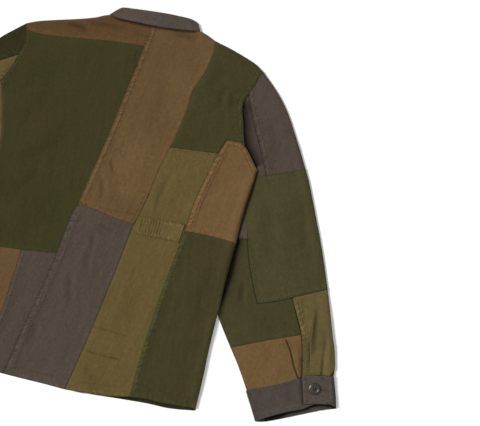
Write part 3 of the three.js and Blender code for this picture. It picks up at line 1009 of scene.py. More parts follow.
@dataclass(frozen=True)
class Thread(Finish):
    """Twisted cotton sewing thread."""

    def _dress(self, n: NodeTree) -> None:
        """Lays the thread's fuzz and uneven dye.

        Args:
            n: The material's nodes.
        """
        plain = n.mapped(0.0, (1, 1, 1))
        fuzz = n.noise(plain, 2600, 2.0)
        patchy = n.noise(plain, 90, 2.0)
        uneven = n.math("ADD", n.math("MULTIPLY", fuzz, 0.5), n.math("MULTIPLY", patchy, 0.5))
        lit = n.add("ShaderNodeVectorMath", operation="SCALE")
        lit.inputs[0].default_value = self.colour
        n.link(n.math("ADD", 1.0, uneven), lit.inputs["Scale"])
        n.link(lit.outputs["Vector"], n.shader.inputs["Base Color"])
        self._set_bump(n, fuzz, 0.1 * MM)
        n.shader.inputs["Roughness"].default_value = 0.75
        n.shader.inputs["Sheen Weight"].default_value = 0.2


@dataclass(frozen=True)
class Resin(Finish):
    """Dark moulded button resin with faint horn-like clouds."""

    name: str = "button_resin"
    slot: str = "button"
    colour: Colour = (0.024, 0.023, 0.016)

    def _dress(self, n: NodeTree) -> None:
        """Lays the resin's clouds and scuffs.

        Args:
            n: The material's nodes.
        """
        plain = n.mapped(0.4, (1, 0.45, 1))
        clouds = n.noise(plain, 190, 4.0, 0.6)
        scuffs = n.noise(plain, 1500, 3.0, 0.7)
        lit = n.add("ShaderNodeVectorMath", operation="SCALE")
        lit.inputs[0].default_value = self.colour
        n.link(n.math("ADD", 1.0, n.math("MULTIPLY", clouds, 1.1)), lit.inputs["Scale"])
        n.link(lit.outputs["Vector"], n.shader.inputs["Base Color"])
        n.link(n.math("ADD", 0.37, n.math("MULTIPLY", scuffs, 0.22)), n.shader.inputs["Roughness"])
        self._set_bump(n, scuffs, 0.05 * MM)


GREEN = Twill(
    "washed_green", "twill_green",
    (0.0413, 0.0383, 0.0114), (0.0446, 0.0357, 0.0127), (0.0390, 0.0440, 0.0150), 2,
)
DARK = Twill(
    "washed_dark", "twill_dark",
    (0.0355, 0.0340, 0.0087), (0.0390, 0.0302, 0.0104), (0.0330, 0.0390, 0.0110), 0,
)
CAP_GREEN = Twill(
    "washed_cap_green", "twill_green",
    (0.0222, 0.0214, 0.0053), (0.0250, 0.0205, 0.0060), (0.0310, 0.0330, 0.0095), -18,
)
SLEEVE_GREEN = Twill(
    "washed_sleeve_green", "twill_sleeve_green",
    (0.0555, 0.0485, 0.0181), (0.0500, 0.0450, 0.0155), (0.0500, 0.0500, 0.0190), 18,
)
FOREARM_GREEN = Twill(
    "washed_forearm_green", "twill_sleeve_green",
    (0.0482, 0.0414, 0.0150), (0.0450, 0.0400, 0.0140), (0.0440, 0.0430, 0.0160), 14,
)
BROWN = Twill(
    "washed_brown", "twill_brown",
    (0.1080, 0.0626, 0.0256), (0.1010, 0.0616, 0.0236), (0.1180, 0.0628, 0.0223), -12,
)
SIDE_BROWN = Twill(
    "washed_side_brown", "twill_brown",
    (0.1296, 0.0745, 0.0295), (0.1230, 0.0713, 0.0271), (0.1400, 0.0740, 0.0260), -12,
)
YOKE_BROWN = Twill(
    "washed_yoke_brown", "twill_yoke_brown",
    (0.0860, 0.0460, 0.0162), (0.0776, 0.0448, 0.0165), (0.0945, 0.0498, 0.0167), 84,
)
FOREARM_OLIVE = Twill(
    "washed_forearm_olive", "twill_olive",
    (0.1085, 0.0780, 0.0260), (0.0930, 0.0740, 0.0280), (0.1040, 0.0810, 0.0280), 14,
)
OLIVE = Twill(
    "washed_olive", "twill_olive",
    (0.1066, 0.0770, 0.0230), (0.0963, 0.0667, 0.0246), (0.1000, 0.0760, 0.0240), -12,
)
BINDING = Twill(
    "washed_binding", "twill_olive",
    (0.0900, 0.0740, 0.0230), (0.0800, 0.0640, 0.0220), (0.0840, 0.0720, 0.0230), 12,
)
GREY = Twill(
    "washed_grey", "twill_grey",
    (0.0681, 0.0508, 0.0373), (0.0647, 0.0476, 0.0361), (0.0640, 0.0500, 0.0370), -14, 0.55,
)
TRIM = Twill(
    "washed_trim", "twill_trim",
    (0.0616, 0.0499, 0.0409), (0.0578, 0.0468, 0.0372), (0.0600, 0.0490, 0.0400), 80, 0.5,
)
COLLAR = Twill(
    "washed_collar", "twill_trim",
    (0.0740, 0.0570, 0.0455), (0.0690, 0.0530, 0.0422), (0.0730, 0.0570, 0.0444), 84, 0.6,
)

GREEN_THREAD = Thread("thread_green", "twill_green", (0.058, 0.060, 0.026))
BROWN_THREAD = Thread("thread_brown", "twill_brown", (0.105, 0.057, 0.022))
OLIVE_THREAD = Thread("thread_olive", "twill_olive", (0.120, 0.092, 0.033))
GREY_THREAD = Thread("thread_grey", "twill_trim", (0.080, 0.064, 0.050))
BUTTON_THREAD = Thread("thread_button", "twill_trim", (0.008, 0.007, 0.006))
THREAD_OF = {
    "twill_green": GREEN_THREAD, "twill_dark": GREEN_THREAD, "twill_sleeve_green": GREEN_THREAD,
    "twill_brown": BROWN_THREAD, "twill_yoke_brown": BROWN_THREAD, "twill_olive": OLIVE_THREAD,
    "twill_grey": GREY_THREAD, "twill_trim": GREY_THREAD,
}


# ------------------------------------------------------------------------------- making pieces
def place_piece(
    name: str, mesh: bpy.types.Mesh, finish: Finish, nodes: tuple[str, ...] = ()
) -> bpy.types.Object:
    """Adds a finished piece to the scene and to the frame's one body.

    Args:
        name: The piece's name.
        mesh: Its mesh, in the row frame.
        finish: The finish that dresses it.
        nodes: The frame's nodes that it stands for.

    Returns:
        The piece's object.
    """
    piece = bpy.data.objects.new(name, mesh)
    bpy.context.scene.collection.objects.link(piece)
    mesh.materials.append(finish.material())
    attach(piece, "root")
    if nodes:
        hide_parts(*nodes)
    return piece


@dataclass
class ClothPanel:
    """One piece of cloth: a fine net inside its outline, laid on its layer's relief and given a wall."""

    node: str
    layer: Layer
    finish: Twill
    rests_on: tuple[str, ...]
    pitch: float = FINE
    wall: float = WALL
    raise_by: float = 0.0

    def _net(self) -> bmesh.types.BMesh:
        """Cuts the outline's one face along both ways into a net.

        Returns:
            The flat net, at height 0.
        """
        outline = self.layer.outlines[self.node]
        bm = bmesh.new()
        bm.faces.new([bm.verts.new((x, y, 0.0)) for x, y in outline.loop])
        bm.normal_update()
        for axis in (0, 1):
            low, high = outline.loop[:, axis].min(), outline.loop[:, axis].max()
            normal = Vector((1 - axis, axis, 0))
            for k in range(math.ceil(low / self.pitch), math.floor(high / self.pitch) + 1):
                bmesh.ops.bisect_plane(
                    bm, geom=bm.verts[:] + bm.edges[:] + bm.faces[:], dist=0.12 * self.pitch,
                    plane_co=normal * (k * self.pitch), plane_no=normal,
                )
        return bm

    def build(self) -> bpy.types.Object:
        """Makes the piece and hides the solid that it stands for.

        Returns:
            The piece's object.
        """
        bm = self._net()
        points = np.array([v.co.xy[:] for v in bm.verts])
        heights = self.layer.height(points, self.node) + self.raise_by
        for vert, z in zip(bm.verts, heights):
            vert.co.z = float(z)
        self._mark_seams(bm, points)
        if self.layer.face is Face.DOWN:
            bmesh.ops.reverse_faces(bm, faces=bm.faces[:])
        bm.normal_update()
        bmesh.ops.solidify(bm, geom=bm.faces[:], thickness=self.wall)
        mesh = bpy.data.meshes.new(self.node + "_cloth")
        bmesh.ops.recalc_face_normals(bm, faces=bm.faces[:])
        bm.to_mesh(mesh)
        bm.free()
        mesh.polygons.foreach_set("use_smooth", [True] * len(mesh.polygons))
        mesh.set_sharp_from_angle(angle=math.radians(55))
        piece = place_piece(self.node + "_cloth", mesh, self.finish, (self.node,))
        outline = self.layer.outlines[self.node]
        outline.flat_size()
        min(outline.area(), 0.999 * math.prod(outline.flat_size()))
        log.info("%s: %d faces", piece.name, len(mesh.polygons))
        return piece

    def _mark_seams(self, bm: bmesh.types.BMesh, points: np.ndarray) -> None:
        """Keeps on each point its distance from the nearest seam, how that seam is sewn and the creases'
        painted shade.

        Args:
            bm: The piece's net.
            points: Its points in plan, (n, 2).
        """
        names = ("seam_depth", "seam_along", "seam_row_a", "seam_row_b", "seam_rope", "shade", "seam_edge_painted_shade")
        values = np.tile(np.array([0.05, 0.0, NO_ROW, NO_ROW, 0.0, 0.0, 0.0]), (len(points), 1))
        # The creases' painted shade; negative values lighten the cloth's own tone.
        for crease in self.layer.creases:
            if crease.shade:
                values[:, 5] += crease.shade * crease.strength(points)
        best = np.full(len(points), 0.032)
        for seam in self.layer.seams[self.node]:
            near = nearest_on(seam.line, points)
            closer = near.distance < best
            best[closer] = near.distance[closer]
            rows = (*seam.rows, NO_ROW, NO_ROW)[:2]
            values[closer, 0] = near.distance[closer] * (1 if seam.on_band else -1)
            values[closer, 1] = near.along[closer] + seam.seed
            values[closer, 2:4] = rows
            values[closer, 4] = min(1.0, seam.roping / 0.35)
            values[closer, 6] = seam.mark
        for column, name in enumerate(names):
            layer = bm.verts.layers.float.new(name)
            for vert, value in zip(bm.verts, values[:, column]):
                vert[layer] = float(value)


@dataclass
class StitchRows:
    """Rows of small stitches on one sub-assembly, joined into one piece for each thread."""

    name: str
    length: float = 2.4 * MM
    pitch: float = 3.3 * MM
    thickness: float = 0.62 * MM
    places: dict[Thread, list[tuple[Vector, Vector]]] = field(default_factory=dict)

    def add(self, thread: Thread, middle: Vector, along: Vector) -> None:
        """Adds one stitch, centred at a place and lying along a direction."""
        self.places.setdefault(thread, []).append((middle, along))

    def follow(self, panel: ClothPanel, line: np.ndarray, inset: float, clear: float = 1.2 * MM) -> None:
        """Sews a row on a panel, beside a line.

        Args:
            panel: The cloth that is sewn.
            line: The edge that the row follows, with the panel on its left.
            inset: Distance of the row from the edge.
            clear: Least distance from the panel's outline.
        """
        run = np.diff(line, axis=0)
        length = np.linalg.norm(run, axis=1)
        keep = length > 1e-6
        run, length, start = run[keep], length[keep], line[:-1][keep]
        reach = np.concatenate([[0.0], np.cumsum(length)])
        places = np.arange(self.pitch / 2, reach[-1], self.pitch)
        which = np.clip(np.searchsorted(reach, places) - 1, 0, len(run) - 1)
        way = run[which] / length[which, None]
        middle = start[which] + way * (places - reach[which])[:, None]
        middle = middle + np.stack([-way[:, 1], way[:, 0]], axis=1) * inset
        outline = panel.layer.outlines[panel.node].loop
        closed = np.vstack([outline, outline[:1]])
        good = inside(outline, middle) & (nearest_on(closed, middle).distance > clear)
        middle, way = middle[good], way[good]
        if not len(middle):
            return
        half = self.length / 2
        ends = [panel.layer.height(middle + way * s, panel.node) + panel.raise_by for s in (-half, half)]
        up = panel.layer.face.value
        thread = THREAD_OF[panel.finish.slot]
        for (x, y), (wx, wy), low, high in zip(middle, way, *ends):
            along = Vector((wx * self.length, wy * self.length, high - low)).normalized()
            self.add(thread, Vector((x, y, (low + high) / 2 + up * 0.12 * MM)), along)

    def build(self) -> list[bpy.types.Object]:
        """Joins all stitches of each thread into one piece.

        Returns:
            One piece for each thread.
        """
        bm = bmesh.new()
        bmesh.ops.create_uvsphere(bm, u_segments=6, v_segments=4, radius=0.5)
        lying = Vector((0, 0, 1)).rotation_difference(Vector((1, 0, 0))).to_matrix()
        bmesh.ops.rotate(bm, verts=bm.verts[:], cent=(0, 0, 0), matrix=lying)
        shape = np.array([v.co[:] for v in bm.verts])
        faces = [[v.index for v in f.verts] for f in bm.faces]
        bm.free()
        made = []
        for thread, places in self.places.items():
            mesh = bpy.data.meshes.new(f"{self.name}_{thread.name}")
            verts, polygons = [], []
            for number, (middle, along) in enumerate(places):
                across = Vector((-along.y, along.x, 0)).normalized()
                frame_axes = np.array([along[:], across[:], along.cross(across)[:]])
                sized = shape * np.array([self.length, self.thickness, self.thickness * 0.8])
                verts.append(sized @ frame_axes + np.array(middle[:]))
                polygons += [[i + number * len(shape) for i in face] for face in faces]
            mesh.from_pydata(np.vstack(verts).tolist(), [], polygons)
            mesh.polygons.foreach_set("use_smooth", [True] * len(mesh.polygons))
            piece = place_piece(f"{self.name}_{thread.name}", mesh, thread)
            log.info("%s: %d stitches", piece.name, len(places))
            made.append(piece)
        return made


def sew(rows: StitchRows, panels: dict[str, ClothPanel]) -> None:
    """Sews every planned row of every seam and hem.

    Args:
        rows: The stitches that are added to.
        panels: The panels that are sewn, by node.
    """
    for node, panel in panels.items():
        for seam in panel.layer.seams[node]:
            for row in seam.rows:
                rows.follow(panel, seam.line, row * MM)


# ------------------------------------------------------------------------------- the jacket's parts
RESTS_ON_TABLE = ("table",)
BACK_NODES = (
    "back_yoke_left", "back_panel_left", "back_strip_brown", "back_shoulder_right", "back_olive_upper",
    "back_side_brown", "back_grey_centre", "back_brown_lower_left", "back_grey_lower_left",
    "back_olive_lower", "back_green_lower",
)
RIGHT_SLEEVE_NODES = (
    "sleeve_right_cap", "sleeve_right_elbow", "sleeve_right_forearm_green", "sleeve_right_forearm_brown",
    "sleeve_right_forearm_olive", "sleeve_right_underarm",
)
LEFT_SLEEVE_NODES = ("sleeve_left_cap", "sleeve_left_band", "sleeve_left_upper", "sleeve_left_forearm")


@dataclass
class Assembly:
    """A group of cloth pieces with their stitches."""

    name: str
    panels: dict[str, ClothPanel] = field(default_factory=dict)

    def cover(self, layer: Layer, finishes: dict[str, Twill], rests_on: tuple[str, ...],
              pitch: float = FINE, wall: float = WALL) -> None:
        """Adds a panel for each piece of a layer.

        Args:
            layer: The layer.
            finishes: Finish of each piece, by node.
            rests_on: What the pieces lie on.
            pitch: Size of the net's cells.
            wall: Thickness of the cloth.
        """
        for node, finish in finishes.items():
            self.panels[node] = ClothPanel(node, layer, finish, rests_on, pitch, wall)

    def build(self, stitched: bool = True) -> list[bpy.types.Object]:
        """Builds the panels, then sews their seams.

        Args:
            stitched: Whether the stitches are made.

        Returns:
            The pieces.
        """
        made = [panel.build() for panel in self.panels.values()]
        if stitched:
            rows = StitchRows(self.name + "_stitches")
            sew(rows, self.panels)
            made += rows.build()
        return made


class JacketBack(Assembly):
    """The pieced back: eleven cloths joined by felled seams, with a casing at the waist."""

    FINISHES = {
        "back_yoke_left": YOKE_BROWN, "back_panel_left": DARK, "back_strip_brown": BROWN,
        "back_shoulder_right": GREEN, "back_olive_upper": OLIVE, "back_side_brown": SIDE_BROWN,
        "back_grey_centre": GREY, "back_brown_lower_left": BROWN, "back_grey_lower_left": GREY,
        "back_olive_lower": OLIVE, "back_green_lower": GREEN,
    }
    SEAMS = (
        SeamPlan("back_strip_brown", ("back_panel_left", "back_yoke_left"), (2.2, 9.4), 0.8, 0.45, 0.06),
        SeamPlan("back_grey_centre", ("back_panel_left", "back_brown_lower_left", "back_grey_lower_left"),
                 (2.0, 14.8), 0.6, 0.45, 0.10),
        SeamPlan("back_strip_brown", ("back_grey_centre",), (), 0.7, 0.2, 0.10),
        SeamPlan("back_strip_brown", ("back_olive_upper",), (5.0,), 0.5, 0.18, 0.16, (-40, 30)),
        SeamPlan("back_strip_brown", ("back_olive_upper",), (), 0.3, 0.10, 0.03, (24, 140)),
        SeamPlan("back_strip_brown", ("back_shoulder_right",), (), 0.2, 0.08, 0.05),
        SeamPlan("back_side_brown", ("back_olive_upper",), (8.5, 13.5), 0.7, 0.4, 0.18),
        SeamPlan("back_side_brown", ("back_shoulder_right",), (1.8, 9.0), 0.7, 0.25),
        SeamPlan("back_side_brown", ("back_green_lower",), (), 0.9, 0.08, 0.10),
        SeamPlan("back_olive_upper", ("back_shoulder_right",), (4.0,), 0.7, 0.1, 0.2),
        SeamPlan("back_green_lower", ("back_olive_lower",), (9.0,), 0.5, 0.4, 0.0),
        SeamPlan("back_grey_centre", ("back_olive_lower",), (), 0.3, 0.1, 0.08),
        SeamPlan("back_panel_left", ("back_brown_lower_left", "back_grey_lower_left"), (), 0.5, 0.12, 0.05),
        SeamPlan("back_grey_lower_left", ("back_brown_lower_left",), (7.5,), 0.5, 0.15, 0.22),
        SeamPlan("back_yoke_left", ("back_panel_left",), (), 0.4, 0.1, 0.05),
    )
    # Most creases with a positive shade get painted shade in their troughs; negative shade lightens the
    # cloth's own tone.
    CREASES = (
        Crease(((-152, 301), (-135, 303), (-119, 301.5), (-107, 294)), -1.6, 4.6, fade=(0.25, 0.2),
               shade=0.40),
        Crease(((-156, 297), (-138, 296), (-122, 292)), 0.9, 5),
        Crease(((-114, 311), (-92, 314), (-62, 316), (-30, 315)), -1.1, 5, fade=(0.2, 0.3), shade=0.26),
        Crease(((40, 325), (68, 326), (97, 324)), -1.5, 5, shade=0.28),
        # Painted shadow under the collar's lower edge.
        Crease(((-76, 334), (-56, 330.2), (-32, 329.5), (-8, 329.5), (31, 330.7), (75, 335.2), (92, 338)),
               -0.8, 2.4, fade=(0.12, 0.05), shade=0.80),
        Crease(((-200, 290), (-150, 292), (-90, 300)), 0.8, 9),
        Crease(((186, 262), (170, 240), (172, 204)), 1.6, 8),
        Crease(((176, 258), (159, 236), (163, 205)), -1.4, 6, shade=0.20),
        Crease(((190, 238), (182, 218), (186, 196)), -0.9, 6, shade=0.12),
        Crease(((150, 300), (146, 262), (132, 232)), -0.8, 9, shade=0.08),
        # Painted shade in the groove of the row of stitches under the strip.
        Crease(((-56, -17.2), (-20, -16.6), (14, -16.5), (50, -16)), -0.4, 1.2, fade=(0.03, 0.03),
               shade=0.32),
        Crease(((-17, 80), (-13, 62), (-5, 44)), -1.2, 3.2, shade=0.34),
        Crease(((-31, 47), (-21, 16), (-19, -12)), -1.2, 3.4, shade=0.24),
        Crease(((-14, 46), (-8, 16), (-6, -10)), 0.7, 5),
        Crease(((84, 285), (72, 215), (58, 150)), 0.0, 30, shade=-0.09),
        Crease(((46, 150), (30, 80), (18, 0)), 0.0, 34, fade=(0.4, 0.15), shade=-0.19),
        Crease(((143, -38), (137.5, -61), (129.5, -113), (119, -202), (111.5, -270), (108, -340)),
               0.0, 7.5, 0.9, (0.0, 0.1), -0.18),
        Crease(((98, 76), (90, 52), (85, 24), (80, -8)), -1.4, 5, shade=0.16),
        Crease(((110, 80), (103, 40), (97, 5)), 0.8, 8),
        Crease(((-2, 60), (8, 20), (4, -10)), -0.8, 7, shade=0.04),
        Crease(((60, 250), (52, 190), (30, 130)), -0.7, 12, shade=0.06),
        Crease(((20, 280), (8, 210), (-8, 140)), 0.8, 12),
        Crease(((-31, -53), (-18, -82), (-21, -122), (-10, -158)), -1.5, 6.5, shade=0.15),
        Crease(((-20, -60), (-7, -85), (-9, -122), (2, -155)), 0.4, 7, shade=0.05),
        Crease(((-50, -138), (-42, -176), (-37, -214)), -1.5, 6.5, shade=0.15),
        Crease(((-37, -140), (-29, -172), (-24, -206)), 0.4, 7, shade=0.04),
        Crease(((-14, -48), (0, -52), (18, -55)), -1.0, 3.5, shade=0.18),
        Crease(((-18, -60), (0, -63), (12, -65)), -0.7, 3.5, shade=0.12),
        Crease(((-100, -230), (-92, -270), (-96, -315)), -1.0, 9, shade=0.10),
        Crease(((-130, -190), (-140, -240), (-150, -300)), -0.9, 8, shade=0.10),
        Crease(((-205, 60), (-150, 100), (-100, 150)), 1.0, 16),
        Crease(((-190, 30), (-140, 66), (-92, 112)), -0.9, 14, shade=0.06),
        Crease(((-200, -40), (-168, -10), (-140, 40)), -0.9, 12, shade=0.06),
        Crease(((-225, -90), (-180, -74), (-130, -84)), 0.8, 12),
        Crease(((150, -90), (175, -150), (190, -230)), 1.1, 14),
        Crease(((212, -60), (204, -120), (208, -200)), -1.0, 12, shade=0.08),
        Crease(((140, -110), (136, -180), (126, -260)), -0.8, 10, shade=0.08),
        Crease(((60, -110), (56, -180), (40, -250)), 0.8, 14),
        Crease(((96, -120), (84, -190), (80, -260)), -0.8, 12, shade=0.06),
        Crease(((13, -234), (45, -236), (80, -239)), -0.35, 1.4, fade=(0.05, 0.05), shade=0.30),
        Crease(((11, -280), (42, -283), (75, -284)), -0.35, 1.4, fade=(0.05, 0.05), shade=0.38),
        Crease(((10, -300), (30, -325), (60, -332)), -0.9, 9, shade=0.10),
        Crease(((110, -344), (150, -338), (190, -334), (228, -336)), 2.2, 13, fade=(0.25, 0.15)),
        Crease(((243, 90), (238, 50), (232, 0), (229, -60), (229, -120)), 1.8, 8, fade=(0.1, 0.3)),
        Crease(((228, -160), (226, -220), (224, -290), (224, -338)), 2.4, 8, fade=(0.2, 0.1)),
    )

    def __init__(self, fronts: Layer, sleeves: tuple[Layer, ...]) -> None:
        """Plans the back over the fronts and the tucked sleeves.

        Args:
            fronts: The layer below; not used.
            sleeves: The layers of the sleeves' upper cloths.
        """
        super().__init__("back")
        self.layer = Layer(BACK_NODES, Face.UP, self.CREASES, Ripples(11))
        self.layer.join(self.SEAMS)
        self.layer.fold_free_edges(sleeves, hem_y=-0.338)
        for node in ("back_brown_lower_left", "back_grey_lower_left", "back_grey_centre",
                     "back_olive_lower", "back_green_lower"):
            self.layer.hem(node, self.layer.outlines[node].below(HEM_Y), (18.0,), 0.5, 0.25)
        sleeve_edges = [o for sleeve in sleeves for o in sleeve.outlines.values()]
        for node in ("back_yoke_left", "back_panel_left", "back_shoulder_right", "back_side_brown"):
            outline = self.layer.outlines[node]
            armhole = outline.beside(sleeve_edges) & (outline.loop[:, 1] > UNDERARM_Y)
            self.layer.hem(node, armhole, (2.0, 8.5), 0.6, 0.2)
        self.cover(self.layer, self.FINISHES, ("front_left_cloth", "front_right_cloth"))
        self._add_casing()

    def _add_casing(self) -> None:
        """Lays the gathered casing on the olive cloth at the waist."""
        # Painted shade in the troughs of the gathers.
        gathers = tuple(
            Crease(((64.0 + 5.3 * k, -18 + 0.25 * k), (62.0 + 5.3 * k, -49)), -1.0, 1.6, fade=(0.15, 0.15),
                   shade=0.20 if k % 3 else 0.30)
            for k in range(8)
        )
        even = Crease(((52, -34), (142, -34)), 0.0, 16, fade=(0.0, 0.0), shade=-0.11)
        casing = Layer(("back_waist_casing",), Face.UP, (*self.CREASES, even, *gathers), Ripples(11))
        y = casing.outlines["back_waist_casing"].loop[:, 1]
        casing.hem("back_waist_casing", (y > -0.0185) | (y < -0.049), (2.0,), 0.1, 0.3)
        casing.heights = casing.heights + 0.3 * MM
        self.cover(
            casing, {"back_waist_casing": OLIVE}, ("back_olive_upper_cloth", "back_olive_lower_cloth"), CRISP
        )


class Sleeve(Assembly):
    """One sleeve: pieced upper cloth, underside, slit binding and cuff with its tab."""

    OPEN_MOUTH = Crease(((352, -340), (398, -315), (430, -301), (456, -291), (482, -288)), 3.4, 13,
                        fade=(0.3, 0.12))
    CUFF_CREASES = {                          # on the right; the left cuff has them mirrored
        "under": (
            # Painted shadow inside the cuff's mouth, under its raised upper edge.
            Crease(((358, -338), (374, -329), (393, -319), (412, -309.5), (431, -300), (441, -293.5),
                    (450, -290), (462, -287.5), (476, -287), (484, -288.5)),
                   0.0, 4.4, fade=(0.03, 0.0), shade=0.95),
            Crease(((356, -339.5), (380, -329), (400, -319)), 0.0, 6.5, fade=(0.0, 0.4), shade=0.6),
        ),
        "upper": (
            OPEN_MOUTH,
            # Painted shadow beside the tab's edge.
            Crease(((408, -241), (415, -262), (423, -292)), -0.4, 4.0, fade=(0.0, 0.0), shade=0.55),
            Crease(((345, -300), (372, -290), (395, -285)), 0.7, 12),
            Crease(((390, -262), (396, -285), (404, -308)), -0.7, 6, shade=0.12),
        ),
        "tab": (
            OPEN_MOUTH,
            Crease(((408, -262), (484, -262)), 0.0, 44, fade=(0.0, 0.0), shade=-0.11),
            # Painted shade in the buttonhole.
            Crease(((446, -262), (456, -261), (466, -261)), -0.5, 2.2, fade=(0.1, 0.1), shade=0.35),
        ),
    }

    def __init__(self, side: str, finishes: dict[str, Twill], seams: tuple[SeamPlan, ...],
                 creases: tuple[Crease, ...], pitch: float) -> None:
        """Plans one sleeve.

        Args:
            side: right or left.
            finishes: Finish of each piece of the upper cloth.
            seams: How those pieces are joined.
            creases: Creases of the upper cloth.
            pitch: Size of the net's cells.
        """
        super().__init__("sleeve_" + side)
        self.side = side
        self.pitch = pitch
        self.upper = Layer(tuple(finishes), Face.UP, creases, Ripples(23 if side == "right" else 37))
        self.upper.join(seams)
        self.under = Layer((f"sleeve_{side}_underside",), Face.DOWN, (), None)
        self.binding = Layer((f"sleeve_{side}_slit_binding",), Face.UP, (), None)
        self.cuff = {
            "under": self._cuff_layer("under", Face.DOWN, None, 1.0),
            "upper": self._cuff_layer("upper", Face.UP, Ripples(6), 0.6),
            "tab": self._cuff_layer("tab", Face.UP, Ripples(7), 0.5),
        }
        self.cuff["tab"].heights = self.cuff["tab"].heights + 0.6 * MM
        self._cover_all(finishes)

    def _cuff_layer(self, part: str, face: Face, ripples: Optional[Ripples], swell: float) -> Layer:
        """One layer of the cuff.

        Args:
            part: under, upper or tab.
            face: Which way its good side faces.
            ripples: Its uneven swells.
            swell: How strongly they show.

        Returns:
            The layer.
        """
        way = 1 if self.side == "right" else -1
        creases = tuple(crease.mirrored(way) for crease in self.CUFF_CREASES[part])
        return Layer((f"cuff_{self.side}_{part}",), face, creases, ripples, swell)

    def _cover_all(self, finishes: dict[str, Twill]) -> None:
        """Adds the sleeve's panels.

        Args:
            finishes: Finish of each piece of the upper cloth.
        """
        side, pitch = self.side, self.pitch
        self.cover(self.upper, finishes, (f"sleeve_{side}_underside_cloth",), pitch)
        self.cover(self.under, {self.under.nodes[0]: SLEEVE_GREEN}, RESTS_ON_TABLE, HIDDEN)
        if side == "right":
            for node in ("sleeve_right_forearm_brown", "sleeve_right_forearm_olive"):
                self.panels[node].pitch = CRISP
        last_two = tuple(f"{node}_cloth" for node in finishes)[-2:]
        binding_finish = BINDING if side == "right" else SLEEVE_GREEN
        self.cover(self.binding, {self.binding.nodes[0]: binding_finish}, last_two)
        for part, below in (
            ("under", RESTS_ON_TABLE), ("upper", (f"cuff_{side}_under_cloth",)),
            ("tab", (f"cuff_{side}_upper_cloth",)),
        ):
            self.cover(self.cuff[part], {f"cuff_{side}_{part}": TRIM}, below, pitch, CUFF_WALL)

    def finish_edges(self, body: Layer) -> None:
        """Folds the sleeve's free edges and sews those of its cuff.

        Args:
            body: The back, which the sleeve is sewn to.
        """
        cuffs = tuple(self.cuff.values())
        self.upper.fold_free_edges((body, *cuffs))
        tab = self.cuff["tab"]
        for node, outline in tab.outlines.items():
            x, y = np.abs(outline.loop[:, 0]), outline.loop[:, 1]
            outer_end = (x > 0.4665) & (y < -0.2335) & (y > -0.2868)
            tab.folds[node] = outline.stretches(outer_end, least=3)
        self.under.fold_free_edges(())
        for layer in cuffs:
            node = layer.nodes[0]
            layer.hem(node, layer.outlines[node].everywhere(), (4.5,), 0.45, 0.18)
        binding = self.binding.nodes[0]
        self.binding.hem(binding, self.binding.outlines[binding].everywhere(), (2.0,), 0.1, 0.25)
        self.binding.heights = self.binding.heights - 0.6 * MM


